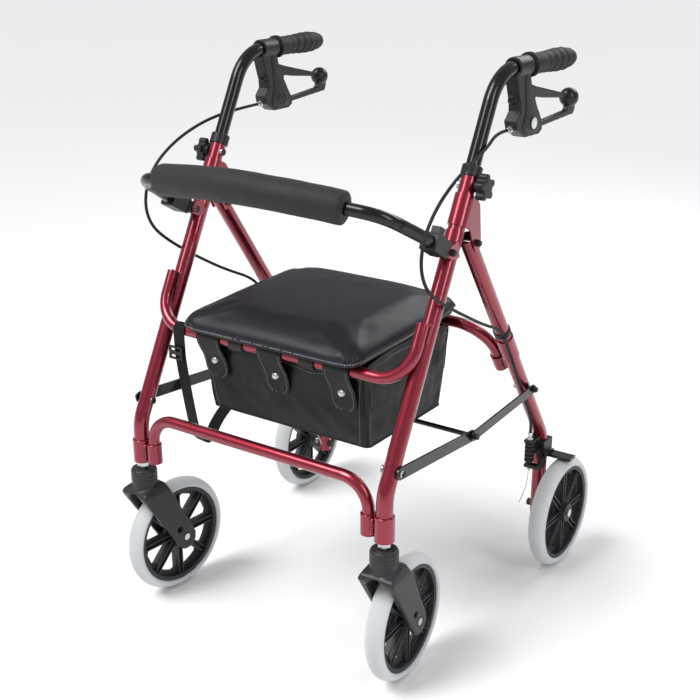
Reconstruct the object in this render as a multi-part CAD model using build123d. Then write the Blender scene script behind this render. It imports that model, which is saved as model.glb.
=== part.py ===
from build123d import *
import os
from math import cos, radians, sin, sqrt, tan

# Folding rollator walker. Millimetres, +Z up, front (casters, backrest) towards -Y.
# The user stands on the +Y side facing -Y, so the user's left is +X.
# The origin is on the floor, under the middle of the walker.

os.makedirs("parts", exist_ok=True)

# ---- driving dimensions -------------------------------------------------------------
LEG_X = 238.0            # centre of the front and rear legs, each side
LEG_R = 12.7             # 1 inch frame tube
LEG_BORE_R = 11.1
BAR_R = 9.5              # 19 mm cross tubes
BAR_BORE_R = 8.0
FRONT_LEAN = 27.5        # front legs rake forward going down
REAR_LEAN = 35.0         # rear legs rake backward going down
COLLAR_Y, COLLAR_Z = -66.0, 751.0    # front leg axis at the collar's lower edge
FOOT_Y, FOOT_Z = -285.0, 262.0       # foot of the front leg
FOLD_Y, FOLD_Z = -65.6, 655.0        # pivot of the rear frame
REAR_FOOT_Y = 226.0                  # rear leg below its bend, and the rear axle
WHEEL_R = 100.0
TYRE_W = 32.0
RIM_R = 85.0
TRAIL = 61.5             # caster trail
REAR_WHEEL_X = 281.0
CASTER_TURN = {"left": 3.2, "right": -5.4}
BOLT_R = 3.0
FIT = 0.07               # radial clearance of a running fit
GAP = 0.3                # clearance between faces that only pass each other

SLOPE = tan(radians(FRONT_LEAN))
REAR_SLOPE = tan(radians(REAR_LEAN))
SIDES = {"left": 1, "right": -1}


# ---- helpers ------------------------------------------------------------------------
def save(name, shape):
    """Writes one named sub-part."""
    shape.label = name
    export_step(shape, f"parts/{name}.step")


def group(*solids):
    """Separate solids that share one node."""
    return Compound(children=list(solids))


def flip(shape):
    """The same piece on the user's right."""
    return mirror(shape, about=Plane.YZ)


def both(shape):
    """A left piece and its mirror image in one node."""
    return group(shape, flip(shape))


def sided(shape, sign):
    return shape if sign > 0 else flip(shape)


def swept(path, radius):
    """A round bar along a path."""
    start = Plane(origin=path @ 0, z_dir=path % 0)
    return sweep(start * Circle(radius), path=path)


def bent(points, radii):
    """Straight runs joined by tangent arcs."""
    return FilletPolyline(*points, radius=radii)


def pipe(path, radius, bore):
    """A hollow tube, open at both ends."""
    return swept(path, radius) - swept(path, bore)


def rod(start, end, radius):
    """A straight round bar between two points."""
    a, b = Vector(*start), Vector(*end)
    return Solid.make_cylinder(radius, (b - a).length, Plane(origin=a, z_dir=b - a))


def ring(start, end, radius, bore):
    return rod(start, end, radius) - rod(start, end, bore)


def slab(points, x_low, x_high):
    """A plate parallel to the side of the walker: points are (y, z)."""
    face = Plane.YZ.offset(x_low) * make_face(Polyline(*points, close=True))
    return extrude(face, x_high - x_low)


def disc(y, z, radius, x_low, x_high):
    """A round piece whose axis runs along X."""
    return rod((x_low, y, z), (x_high, y, z), radius)


def box(x, y, z):
    """A block from its (low, high) ranges."""
    size = [b - a for a, b in (x, y, z)]
    middle = [(a + b) / 2 for a, b in (x, y, z)]
    return Pos(*middle) * Box(*size)


def front_leg_y(z):
    """Y of the front leg's axis above its bend."""
    return COLLAR_Y - SLOPE * (COLLAR_Z - z)


def rear_leg_y(z):
    """Y of the rear leg's axis above its bend."""
    return FOLD_Y + REAR_SLOPE * (FOLD_Z - z)


def down_leg(s, t=0.0):
    """(y, z) at s along the front leg below the collar and t behind its axis."""
    lean = radians(FRONT_LEAN)
    y = COLLAR_Y - s * sin(lean) + t * cos(lean)
    z = COLLAR_Z - s * cos(lean) - t * sin(lean)
    return y, z


# ---- front frame --------------------------------------------------------------------
LEG_TOP_S = -8.0                     # the leg's top end, hidden in the collar
HEIGHT_BOLT_Z = 740.0
BRACE_FRONT_Z = 363.0
BRACE_FRONT_Y = front_leg_y(BRACE_FRONT_Z)
EAR_Y, EAR_Z = -140.8, 657.5         # pivot of the backrest
PIVOT_HOLE_R = BOLT_R + FIT

leg_bend_z = COLLAR_Z - (COLLAR_Y - FOOT_Y) / SLOPE
leg_path = bent([(LEG_X, FOOT_Y, FOOT_Z), (LEG_X, FOOT_Y, leg_bend_z),
                 (LEG_X, *down_leg(LEG_TOP_S))], 70)
front_leg = pipe(leg_path, LEG_R, LEG_BORE_R)
height_bolt_y = front_leg_y(HEIGHT_BOLT_Z)
front_leg -= disc(height_bolt_y, HEIGHT_BOLT_Z, BOLT_R, 200, 280)
front_leg -= disc(BRACE_FRONT_Y, BRACE_FRONT_Z, BOLT_R, 200, 280)
for side, sign in SIDES.items():
    save(f"front_leg_{side}", sided(front_leg, sign))

# low U tube between the casters
CROSSBAR_Z = 344.0
CROSSBAR_X = 210.5
crossbar_end = (CROSSBAR_X, FOOT_Y, FOOT_Z + 3)
crossbar_path = bent([crossbar_end, (CROSSBAR_X, FOOT_Y, CROSSBAR_Z),
                      (-CROSSBAR_X, FOOT_Y, CROSSBAR_Z), (-CROSSBAR_X, FOOT_Y, FOOT_Z + 3)], 45)
save("lower_crossbar", pipe(crossbar_path, BAR_R, BAR_BORE_R))

# welded sleeves at the feet of the leg and of the crossbar
STEM_R = 6.0
LEG_CUP_R = 15.3
BAR_CUP_R = LEG_X - CROSSBAR_X - LEG_CUP_R
CUP_FLOOR = 2.0
leg_cup = rod((LEG_X, FOOT_Y, FOOT_Z - CUP_FLOOR), (LEG_X, FOOT_Y, 300), LEG_CUP_R)
leg_cup = fillet(leg_cup.edges().sort_by(Axis.Z)[-1], 1.5)
leg_cup -= rod((LEG_X, FOOT_Y, FOOT_Z), (LEG_X, FOOT_Y, 301), LEG_R)
leg_cup -= rod((LEG_X, FOOT_Y, 250), (LEG_X, FOOT_Y, 270), STEM_R)
bar_cup = rod((CROSSBAR_X, FOOT_Y, FOOT_Z + 1), (CROSSBAR_X, FOOT_Y, 297), BAR_CUP_R)
bar_cup = fillet(bar_cup.edges().sort_by(Axis.Z)[-1], 1.5)
bar_cup -= rod((CROSSBAR_X, FOOT_Y, FOOT_Z + 3), (CROSSBAR_X, FOOT_Y, 298), BAR_R)
save("leg_cups", group(leg_cup, bar_cup, flip(leg_cup), flip(bar_cup)))

# J-ended U tube in front of the legs: it carries the seat's front edge and the bag
SEAT_TUBE_Z = 483.0
SEAT_TUBE_TOP = 562.0
seat_tube_offset = (LEG_R + BAR_R + 0.05) / cos(radians(FRONT_LEAN))


def seat_tube_y(z):
    return front_leg_y(z) - seat_tube_offset


SEAT_TUBE_Y = seat_tube_y(SEAT_TUBE_Z)
j_points = [(x, seat_tube_y(z), z) for x, z in
            [(LEG_X, SEAT_TUBE_TOP), (LEG_X, SEAT_TUBE_Z),
             (-LEG_X, SEAT_TUBE_Z), (-LEG_X, SEAT_TUBE_TOP)]]
seat_tube = pipe(bent(j_points, 52), BAR_R, BAR_BORE_R)
lean_up = Vector(0, sin(radians(FRONT_LEAN)), cos(radians(FRONT_LEAN)))
for sign in SIDES.values():
    top = Vector(sign * LEG_X, seat_tube_y(SEAT_TUBE_TOP), SEAT_TUBE_TOP)
    seat_tube += Solid.make_cylinder(BAR_BORE_R, 2, Plane(origin=top - lean_up * 2, z_dir=lean_up))
save("seat_tube", seat_tube)

# folded plate that wraps the leg and holds the rear frame's pivot
PLATE_T = 2.5
WRAP_TOP_S, WRAP_LOW_S = 27.0, 74.0
plate_in = LEG_R
plate_out = LEG_R + PLATE_T
plate_outline = [down_leg(WRAP_TOP_S), down_leg(WRAP_TOP_S, 13), down_leg(33, 24),
                 (FOLD_Y + 11.5, FOLD_Z + 3), (FOLD_Y + 9, FOLD_Z - 9),
                 (FOLD_Y - 4, FOLD_Z - 12), down_leg(WRAP_LOW_S + 9, 24),
                 down_leg(WRAP_LOW_S, 14), down_leg(WRAP_LOW_S)]
gusset = slab(plate_outline, LEG_X + plate_in, LEG_X + plate_out)
gusset += slab(plate_outline, LEG_X - plate_out, LEG_X - plate_in)
wrap_top = (LEG_X, *down_leg(WRAP_TOP_S))
wrap_low = (LEG_X, *down_leg(WRAP_LOW_S))
wrap = ring(wrap_top, wrap_low, plate_out, plate_in)
front_half = [down_leg(WRAP_TOP_S - 30), down_leg(WRAP_LOW_S + 30),
              down_leg(WRAP_LOW_S + 30, -40), down_leg(WRAP_TOP_S - 30, -40)]
wrap = wrap & slab(front_half, LEG_X - 40, LEG_X + 40)
gusset = gusset + wrap
gusset -= disc(FOLD_Y, FOLD_Z, BOLT_R, 200, 280)
save("gussets", both(gusset))

# plastic collars round the handle tubes
HANDLE_R = LEG_BORE_R - FIT
collar_top = (LEG_X, *down_leg(-17))
collar_low = (LEG_X, *down_leg(0))
leg_end = (LEG_X, *down_leg(LEG_TOP_S))
collar = rod(collar_low, collar_top, 15.4)
collar = chamfer(collar.edges().sort_by(Axis.Z)[-1], 1.2)
collar -= rod(collar_low, leg_end, LEG_R)
collar -= rod(collar_low, (LEG_X, *down_leg(-20)), HANDLE_R + 0.1)
save("leg_collars", both(collar))

# caster stems: an expander plug inside the leg, a jam nut and the stem that the fork turns on
FORK_TOP_Z = 247.0
STEM_LOW_Z = 196.0
stem = rod((LEG_X, FOOT_Y, STEM_LOW_Z), (LEG_X, FOOT_Y, 266), STEM_R)
stem += rod((LEG_X, FOOT_Y, FOOT_Z), (LEG_X, FOOT_Y, 300), LEG_BORE_R)
jam_nut = Pos(LEG_X, FOOT_Y, FORK_TOP_Z + 4.0) * extrude(RegularPolygon(10.5, 6), 8.5)
stem_head = Pos(LEG_X, FOOT_Y, STEM_LOW_Z) * extrude(RegularPolygon(9.5, 6), 8)
stem += jam_nut
stem += stem_head
save("caster_stems", both(stem))

# U brackets that carry the backrest
EAR_GAP = (228.0, 252.0)
EAR_T = 2.5
ear_outline = [(EAR_Y - 9, EAR_Z + 4), (EAR_Y - 4, EAR_Z + 9), (EAR_Y + 18, EAR_Z + 13),
               (EAR_Y + 22, EAR_Z - 12), (EAR_Y + 4, EAR_Z - 12), (EAR_Y - 8, EAR_Z - 6)]
ear = slab(ear_outline, EAR_GAP[0] - EAR_T, EAR_GAP[1] + EAR_T)
ear -= slab([(EAR_Y - 30, EAR_Z + 30), (EAR_Y + 40, EAR_Z + 30), (EAR_Y + 40, EAR_Z - 30),
             (EAR_Y - 30, EAR_Z - 30)], *EAR_GAP)
ear -= disc(EAR_Y, EAR_Z, BOLT_R, 200, 280)
leg_core = swept(leg_path, LEG_R)
ear_web = rod((LEG_X, *down_leg(82)), (LEG_X, *down_leg(108)), LEG_R + 2.0)
ear_web &= slab([down_leg(70), down_leg(120), down_leg(120, -30), down_leg(70, -30)], 200, 280)
ear = (ear + ear_web) - leg_core
save("backrest_ears", both(ear))


# bolts with a domed cap nut outside and a low round head inside
def cap_bolt(y, z, x_head, x_nut, shank=BOLT_R, head=5.5):
    bolt = disc(y, z, shank, x_head, x_nut)
    bolt += disc(y, z, head, x_head - 3, x_head)
    bolt += Pos(x_nut, y, z) * Rot(0, 90, 0) * extrude(RegularPolygon(5.6, 6), 4)
    bolt += disc(y, z, 4.4, x_nut, x_nut + 7)
    return fillet(bolt.edges().group_by(Axis.X)[-1], 2)


BRACE_IN = 251.5         # inner face of the front brace
BRACE_T = 3.0
fold_bolt = cap_bolt(FOLD_Y, FOLD_Z, LEG_X - plate_out, LEG_X + plate_out)
ear_bolt = cap_bolt(EAR_Y, EAR_Z, EAR_GAP[0] - EAR_T, EAR_GAP[1] + EAR_T)
brace_bolt = cap_bolt(BRACE_FRONT_Y, BRACE_FRONT_Z, LEG_X - LEG_R, BRACE_IN + BRACE_T + GAP)
height_bolt = disc(height_bolt_y, HEIGHT_BOLT_Z, BOLT_R, LEG_X - LEG_R, 268)
height_bolt += disc(height_bolt_y, HEIGHT_BOLT_Z, 6, LEG_X - LEG_R - 3, LEG_X - LEG_R + 0.8)
height_bolt -= leg_core & disc(height_bolt_y, HEIGHT_BOLT_Z, 6, 224, 227) \
    - disc(height_bolt_y, HEIGHT_BOLT_Z, BOLT_R, 220, 230)
bolts = [fold_bolt, ear_bolt, brace_bolt, height_bolt]
save("frame_bolts", group(*bolts, *[flip(b) for b in bolts]))

# ---- rear frame ---------------------------------------------------------------------
rear_lean = radians(REAR_LEAN)
REAR_FOOT_Z = 86.0
AXLE_Z = WHEEL_R
AXLE_R = 4.0
BRACE_REAR_Z = 356.0
BRACE_REAR_Y = rear_leg_y(BRACE_REAR_Z)


def down_rear(z, ahead=0.0):
    """(y, z) on the rear leg's axis at height z, moved ahead square to the leg."""
    return rear_leg_y(z) - ahead * cos(rear_lean), z - ahead * sin(rear_lean)


rear_bend_z = FOLD_Z - (REAR_FOOT_Y - FOLD_Y) / REAR_SLOPE
rear_top = (LEG_X, FOLD_Y - 9 * sin(rear_lean), FOLD_Z + 9 * cos(rear_lean))
rear_path = bent([rear_top, (LEG_X, REAR_FOOT_Y, rear_bend_z),
                  (LEG_X, REAR_FOOT_Y, REAR_FOOT_Z)], 80)
rear_leg = pipe(rear_path, LEG_R - GAP / 2, LEG_BORE_R)
rear_leg -= disc(FOLD_Y, FOLD_Z, PIVOT_HOLE_R, 200, 280)
rear_leg -= disc(BRACE_REAR_Y, BRACE_REAR_Z, BOLT_R, 200, 280)
rear_leg -= disc(REAR_FOOT_Y, AXLE_Z, AXLE_R, 200, 280)
for side, sign in SIDES.items():
    save(f"rear_leg_{side}", sided(rear_leg, sign))

# U tube between the rear legs: the seat's rear edge rests on it
REAR_BAR_X = 211.0
REAR_BAR_Z = 480.0
rear_bar_path = bent([(REAR_BAR_X, *down_rear(402)), (REAR_BAR_X, *down_rear(REAR_BAR_Z)),
                      (-REAR_BAR_X, *down_rear(REAR_BAR_Z)), (-REAR_BAR_X, *down_rear(402))], 60)
save("rear_tube", pipe(rear_bar_path, BAR_R, BAR_BORE_R))

SLEEVE_R = 14.8
side_cup = rod((REAR_BAR_X, *down_rear(399)), (REAR_BAR_X, *down_rear(425)),
               LEG_X - REAR_BAR_X - SLEEVE_R)
side_cup -= rod((REAR_BAR_X, *down_rear(402)), (REAR_BAR_X, *down_rear(430)), BAR_R)
leg_sleeve = ring((LEG_X, *down_rear(430)), (LEG_X, *down_rear(469)), SLEEVE_R, LEG_R - GAP / 2)
weld_tab = box((REAR_BAR_X + 11, LEG_X - 12), (-6, 6), (-14, 14))
weld_tab = Pos(0, *down_rear(414)) * Rot(REAR_LEAN, 0, 0) * weld_tab
weld_tab -= swept(rear_path, LEG_R - GAP / 2)
weld_tab -= rod((REAR_BAR_X, *down_rear(399)), (REAR_BAR_X, *down_rear(440)),
                LEG_X - REAR_BAR_X - SLEEVE_R)
save("rear_tube_cups", group(side_cup, leg_sleeve, weld_tab,
                             flip(side_cup), flip(leg_sleeve), flip(weld_tab)))

# rear axles: bolt head inside, spacer, and a domed end in the hub
HUB_HALF = 18.0
axle = disc(REAR_FOOT_Y, AXLE_Z, AXLE_R, 219, REAR_WHEEL_X + HUB_HALF + 1)
axle += disc(REAR_FOOT_Y, AXLE_Z, 6.5, LEG_X + LEG_R - GAP / 2, REAR_WHEEL_X - HUB_HALF - GAP)
axle += Pos(LEG_X - LEG_R - 6, REAR_FOOT_Y, AXLE_Z) * Rot(0, 90, 0) * extrude(RegularPolygon(7.2, 6), 6)
axle += disc(REAR_FOOT_Y, AXLE_Z, 7, REAR_WHEEL_X + HUB_HALF + GAP, REAR_WHEEL_X + HUB_HALF + 3)
axle -= swept(rear_path, LEG_R - GAP / 2) - disc(REAR_FOOT_Y, AXLE_Z, AXLE_R, 210, 260)
save("rear_axles", both(axle))

# brake brackets clamped round the rear legs
BRAKE_Y, BRAKE_Z = 199.0, 214.0      # pivot of the brake arm
CABLE_X, CABLE_Y = 236.0, 186.0      # where the cable comes down to the brake
LEDGE_Z = 238.0
bracket = box((LEG_X - 16, LEG_X + 15), (REAR_FOOT_Y - 18, REAR_FOOT_Y + 16), (206, 232))
bracket += slab([(BRAKE_Y - 7, BRAKE_Z - 7), (REAR_FOOT_Y, BRAKE_Z - 8),
                 (REAR_FOOT_Y, BRAKE_Z + 12), (BRAKE_Y - 7, BRAKE_Z + 7)], LEG_X + 9, LEG_X + 15)
bracket += box((CABLE_X - 8, CABLE_X + 8), (CABLE_Y - 8, REAR_FOOT_Y - 12), (LEDGE_Z, LEDGE_Z + 4))
bracket += box((CABLE_X - 8, CABLE_X + 8), (REAR_FOOT_Y - 22, REAR_FOOT_Y - 12), (220, LEDGE_Z + 4))
bracket += disc(BRAKE_Y, BRAKE_Z, BOLT_R, LEG_X + 10, LEG_X + 24)
bracket += disc(BRAKE_Y, BRAKE_Z, 5.5, LEG_X + 22, LEG_X + 25)
bracket -= swept(rear_path, LEG_R - GAP / 2)
bracket -= rod((CABLE_X, CABLE_Y, 230), (CABLE_X, CABLE_Y, 250), 3)
save("brake_brackets", both(bracket))

# ribbed rubber boots over the brake springs
BOOT_LOW = 199.0
boot = rod((CABLE_X, CABLE_Y, BOOT_LOW), (CABLE_X, CABLE_Y, LEDGE_Z), 6.2)
for rib in range(5):
    rib_z = BOOT_LOW + 3 + rib * 7.6
    boot += rod((CABLE_X, CABLE_Y, rib_z), (CABLE_X, CABLE_Y, rib_z + 3.6), 8.6)
save("cable_boots", both(boot))

# threaded cable adjusters above the boots
ADJUSTER_TOP = 256.0
adjuster = rod((CABLE_X, CABLE_Y, LEDGE_Z), (CABLE_X, CABLE_Y, ADJUSTER_TOP), 3)
adjuster += Pos(CABLE_X, CABLE_Y, LEDGE_Z + 4) * extrude(RegularPolygon(5.5, 6), 4)
adjuster += rod((CABLE_X, CABLE_Y, ADJUSTER_TOP - 6), (CABLE_X, CABLE_Y, ADJUSTER_TOP), 4)
save("cable_adjusters", both(adjuster))

# clips that hold the cables to the rear legs
CABLE_R = 2.5
CLIP_Z = 481.0
rear_down = Vector(0, sin(rear_lean), -cos(rear_lean))
clip_centre = Vector(LEG_X, *down_rear(CLIP_Z))
clip = Solid.make_cylinder(LEG_R + 1.6, 9, Plane(origin=clip_centre - rear_down * 4.5, z_dir=rear_down))
clip_cable = Vector(LEG_X + 11.5, *down_rear(CLIP_Z, 13.7))
saddle = clip_cable - rear_down * 4.5
clip += Solid.make_cylinder(CABLE_R + 1.8, 9, Plane(origin=saddle, z_dir=rear_down))
clip -= swept(rear_path, LEG_R - GAP / 2)
clip -= Solid.make_cylinder(CABLE_R + 0.4, 30, Plane(origin=saddle - rear_down * 10, z_dir=rear_down))
save("cable_clips", both(clip))

# ---- side braces --------------------------------------------------------------------
HINGE_Y, HINGE_Z = -60.0, 345.0      # middle hinge of the side braces
ROD_R = 4.0


def flat_bar(start, end, width, x_low, thickness, bore_start, bore_end):
    """A flat bar with round ends between two (y, z) points, with a hole at each end."""
    a, b = Vector(0, *start), Vector(0, *end)
    across = Vector(1, 0, 0).cross((b - a).normalized()) * (width / 2)
    outline = [(p.Y, p.Z) for p in (a + across, b + across, b - across, a - across)]
    bar = slab(outline, x_low, x_low + thickness)
    for (y, z), bore in ((start, bore_start), (end, bore_end)):
        bar += disc(y, z, width / 2, x_low, x_low + thickness)
        bar -= disc(y, z, bore, x_low - 1, x_low + thickness + 1)
    return bar


front_brace = flat_bar((BRACE_FRONT_Y, BRACE_FRONT_Z), (HINGE_Y, HINGE_Z), 19,
                       BRACE_IN, BRACE_T, PIVOT_HOLE_R, ROD_R)
save("front_braces", both(front_brace))
save("cross_rod", rod((-BRACE_IN - BRACE_T, HINGE_Y, HINGE_Z),
                      (BRACE_IN + BRACE_T, HINGE_Y, HINGE_Z), ROD_R))

REAR_BRACE_IN = BRACE_IN + BRACE_T + GAP
rear_brace = flat_bar((BRACE_REAR_Y, BRACE_REAR_Z), (HINGE_Y, HINGE_Z), 16,
                      REAR_BRACE_IN, BRACE_T, PIVOT_HOLE_R, BOLT_R)
hinge_nut_x = REAR_BRACE_IN + BRACE_T
rear_brace += disc(HINGE_Y, HINGE_Z, BOLT_R, REAR_BRACE_IN, hinge_nut_x)
rear_brace += Pos(hinge_nut_x, HINGE_Y, HINGE_Z) * Rot(0, 90, 0) * extrude(RegularPolygon(5.6, 6), 4)
rear_brace += disc(HINGE_Y, HINGE_Z, 4.4, hinge_nut_x, hinge_nut_x + 7)
save("rear_braces", both(rear_brace))

rear_bolt = cap_bolt(BRACE_REAR_Y, BRACE_REAR_Z, LEG_X - LEG_R, hinge_nut_x + GAP)
rear_bolt += disc(BRACE_REAR_Y, BRACE_REAR_Z, 5, LEG_X + LEG_R - GAP / 2, REAR_BRACE_IN - GAP)
rear_bolt -= swept(rear_path, LEG_R - GAP / 2) - disc(BRACE_REAR_Y, BRACE_REAR_Z, BOLT_R, 210, 260)
save("rear_frame_bolts", both(rear_bolt))

# ---- seat ---------------------------------------------------------------------------
SEAT_HALF = 168.0
SEAT_FRONT_Y, SEAT_REAR_Y = -263.0, 54.0
SEAT_FRONT_Z, SEAT_REAR_Z = 503.0, 512.0
SEAT_TILT = 1.63
BOARD_T = 8.0
seat_depth = SEAT_REAR_Y - SEAT_FRONT_Y
seat_middle = Pos(0, (SEAT_FRONT_Y + SEAT_REAR_Y) / 2, (SEAT_FRONT_Z + SEAT_REAR_Z) / 2)
seat_plane = seat_middle * Rot(SEAT_TILT, 0, 0)


def seat_outline(inset, corner):
    return RectangleRounded(2 * (SEAT_HALF - inset), seat_depth - 2 * inset, corner)


board = seat_plane * Pos(0, 0, -BOARD_T) * extrude(seat_outline(7, 24), BOARD_T)
save("seat_board", board)

cushion = loft([seat_plane * Pos(0, 0, height) * seat_outline(inset, corner)
                for height, inset, corner in ((0, 2, 26), (10, 0, 28), (22, 6, 32))], ruled=True)
cushion += loft([seat_plane * Pos(0, 0, height) * seat_outline(inset, corner)
                 for height, inset, corner in ((22, 6, 32), (32, 26, 40), (38, 62, 50))], ruled=True)
save("seat_cushion", cushion)

CLIP_X = 68.0
CLIP_W = 26.0
clips = []
board_low = SEAT_FRONT_Z + (SEAT_TUBE_Y - SEAT_FRONT_Y) * tan(radians(SEAT_TILT)) - BOARD_T / cos(
    radians(SEAT_TILT))
for x in (CLIP_X, -CLIP_X):
    span = (x - CLIP_W / 2, x + CLIP_W / 2)
    body = rod((span[0], SEAT_TUBE_Y, SEAT_TUBE_Z), (span[1], SEAT_TUBE_Y, SEAT_TUBE_Z), 12.4)
    body += box(span, (SEAT_TUBE_Y - 12, SEAT_TUBE_Y + 14), (SEAT_TUBE_Z + 6, board_low - 0.4))
    body -= rod((span[0] - 1, SEAT_TUBE_Y, SEAT_TUBE_Z), (span[1] + 1, SEAT_TUBE_Y, SEAT_TUBE_Z),
                BAR_R + FIT)
    body -= box((span[0] - 1, span[1] + 1), (SEAT_TUBE_Y - 5, SEAT_TUBE_Y + 5), (460, SEAT_TUBE_Z))
    clips.append(body)
REST_X = 110.0
rest_low = REAR_BAR_Z + BAR_R + GAP
rest_high = SEAT_REAR_Z - BOARD_T - 1.0
for x in (REST_X, -REST_X):
    clips.append(box((x - 14, x + 14), (SEAT_REAR_Y - 22, SEAT_REAR_Y - 2), (rest_low, rest_high)))
save("seat_clips", group(*clips))

# ---- bag, strap ---------------------------------------------------------------------
BAG_HALF = 154.0
BAG_LOW, BAG_TOP = 350.0, 476.0
BAG_WALL = 2.5
bag_front = (-199.0, -214.0)         # front panel at the floor and at the rim
bag_rear = (15.0, 40.0)


def bag_block(inset, low, high):
    """The bag's tapering outer shape, or its inside."""
    lower = Plane.XY.offset(low) * make_face(Polyline(
        (-BAG_HALF + inset, bag_front[0] + inset), (BAG_HALF - inset, bag_front[0] + inset),
        (BAG_HALF - inset, bag_rear[0] - inset), (-BAG_HALF + inset, bag_rear[0] - inset), close=True))
    upper = Plane.XY.offset(high) * make_face(Polyline(
        (-BAG_HALF + inset, bag_front[1] + inset), (BAG_HALF - inset, bag_front[1] + inset),
        (BAG_HALF - inset, bag_rear[1] - inset), (-BAG_HALF + inset, bag_rear[1] - inset), close=True))
    return loft([lower, upper])


bag = bag_block(0, BAG_LOW, BAG_TOP) - bag_block(BAG_WALL, BAG_LOW + BAG_WALL, BAG_TOP + 2)
LOOP_W = 38.0
LOOP_T = 2.0
loops = []
loop_in = BAR_R + 0.6
for x in (-124.0, 0.0, 124.0):
    span = (x - LOOP_W / 2, x + LOOP_W / 2)
    wrap_round = rod((span[0], SEAT_TUBE_Y, SEAT_TUBE_Z), (span[1], SEAT_TUBE_Y, SEAT_TUBE_Z),
                     loop_in + LOOP_T)
    wrap_round -= rod((span[0], SEAT_TUBE_Y, SEAT_TUBE_Z), (span[1], SEAT_TUBE_Y, SEAT_TUBE_Z), loop_in)
    wrap_round &= box(span, (SEAT_TUBE_Y - 30, SEAT_TUBE_Y + 30), (SEAT_TUBE_Z, SEAT_TUBE_Z + 30))
    front_y = SEAT_TUBE_Y - loop_in - LOOP_T
    flap = slab([(front_y, SEAT_TUBE_Z), (front_y + LOOP_T, SEAT_TUBE_Z), (front_y + 14, 410),
                 (front_y + 12, 410)], *span)
    back_y = SEAT_TUBE_Y + loop_in
    back = slab([(back_y, SEAT_TUBE_Z), (back_y + LOOP_T, SEAT_TUBE_Z), (back_y + LOOP_T + 2, 466),
                 (back_y + 2, 466)], *span)
    loops.append(wrap_round + flap + back)
save("storage_bag", group(bag, *loops))

STRAP_W = 20.0
STRAP_T = 1.6
STRAP_X = -190.0
strap_line = [(SEAT_TUBE_Y - 11.2, SEAT_TUBE_Z), (SEAT_TUBE_Y - 10, 446), (-228.0, 400.0),
              (-211.0, 316.0), (-196.0, 276.0), (-180.0, 262.0), (-162.0, 268.0),
              (-136.0, 300.0), (-92.0, 332.0), (HINGE_Y - 9, HINGE_Z - 1)]


def ribbon(points, thickness):
    """The (y, z) outline of a band of even thickness along a line."""
    spots = [Vector(0, *p) for p in points]
    near, far = [], []
    for index, spot in enumerate(spots):
        ahead = spots[min(index + 1, len(spots) - 1)] - spots[max(index - 1, 0)]
        across = Vector(1, 0, 0).cross(ahead.normalized()) * (thickness / 2)
        near.append((spot.Y + across.Y, spot.Z + across.Z))
        far.append((spot.Y - across.Y, spot.Z - across.Z))
    return near + far[::-1]


save("lock_strap", slab(ribbon(strap_line, STRAP_T), STRAP_X - STRAP_W / 2, STRAP_X + STRAP_W / 2))
buckle = box((STRAP_X - 14, STRAP_X + 14), (-3.5, -0.4), (-11, 11))
for z in (-5.5, 5.5):
    buckle -= box((STRAP_X - 10.5, STRAP_X + 10.5), (-10, 10), (z - 2.5, z + 2.5))
save("strap_buckle", Pos(0, SEAT_TUBE_Y - 11.6, 446) * buckle)

# ---- backrest -----------------------------------------------------------------------
REST_TILT = 30.0
HOOP_X = 243.0
PAD_R = 25.0


def on_hoop(x, along, above=0.0):
    """A point of the backrest: along it from its pivot, and above its plane."""
    tilt = radians(REST_TILT)
    y = EAR_Y - along * cos(tilt) + above * sin(tilt)
    z = EAR_Z + along * sin(tilt) + above * cos(tilt)
    return x, y, z


hoop_line = [(HOOP_X, 14), (HOOP_X, 56), (221, 146), (0, 195), (-221, 146), (-HOOP_X, 56), (-HOOP_X, 14)]
hoop_path = bent([on_hoop(x, v) for x, v in hoop_line], [100, 50, 500, 50, 100])
save("backrest_tube", pipe(hoop_path, BAR_R, BAR_BORE_R))

PAD_END_X = 166.0
pad_end_v = 146 + (221 - PAD_END_X) * (195 - 146) / 221
pad_path = bent([on_hoop(PAD_END_X, pad_end_v), on_hoop(0, 195), on_hoop(-PAD_END_X, pad_end_v)], 500)
save("backrest_pad", pipe(pad_path, PAD_R, BAR_R))

hoop_plane = Pos(0, EAR_Y, EAR_Z) * Rot(-REST_TILT, 0, 0)


def hoop_box(x, along, above):
    """A block in the backrest's own plane."""
    return hoop_plane * box(x, (-along[1], -along[0]), above)


BUTTON_V = 36.0
BUTTON_HALF = 7.0
BUTTON_STROKE = 4.0
socket = hoop_box((HOOP_X - 13, HOOP_X + 13), (12, 52), (-13, 12.5))
socket = fillet(socket.edges().filter_by(Axis.X), 3)
socket += hoop_box((EAR_GAP[0] + GAP, EAR_GAP[1] - GAP), (0, 14), (-9, 9))
socket += disc(EAR_Y, EAR_Z, 9, EAR_GAP[0] + GAP, EAR_GAP[1] - GAP)
wedge = slab([(EAR_Y - 46, EAR_Z + 5), (EAR_Y - 5, EAR_Z - 9), (EAR_Y - 12.6, 621),
              (EAR_Y - 27, 622)], HOOP_X - 11, HOOP_X + 9)
socket += wedge
socket += hoop_box((HOOP_X - 10, HOOP_X + 10), (BUTTON_V - 10, BUTTON_V + 10), (10, 14.5))
socket -= disc(EAR_Y, EAR_Z, PIVOT_HOLE_R, 200, 280)
leg_clear = rod((LEG_X, *down_leg(60)), (LEG_X, *down_leg(200)), LEG_R + 2.5)
socket -= leg_clear
socket -= swept(hoop_path, BAR_R)
button_room = (HOOP_X - BUTTON_HALF - GAP, HOOP_X + BUTTON_HALF + GAP)
socket -= hoop_box(button_room, (BUTTON_V - BUTTON_HALF - GAP, BUTTON_V + BUTTON_HALF + GAP), (0, 20))
socket = socket.solids().sort_by(SortBy.VOLUME)[-1]
save("backrest_sockets", both(socket))

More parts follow.
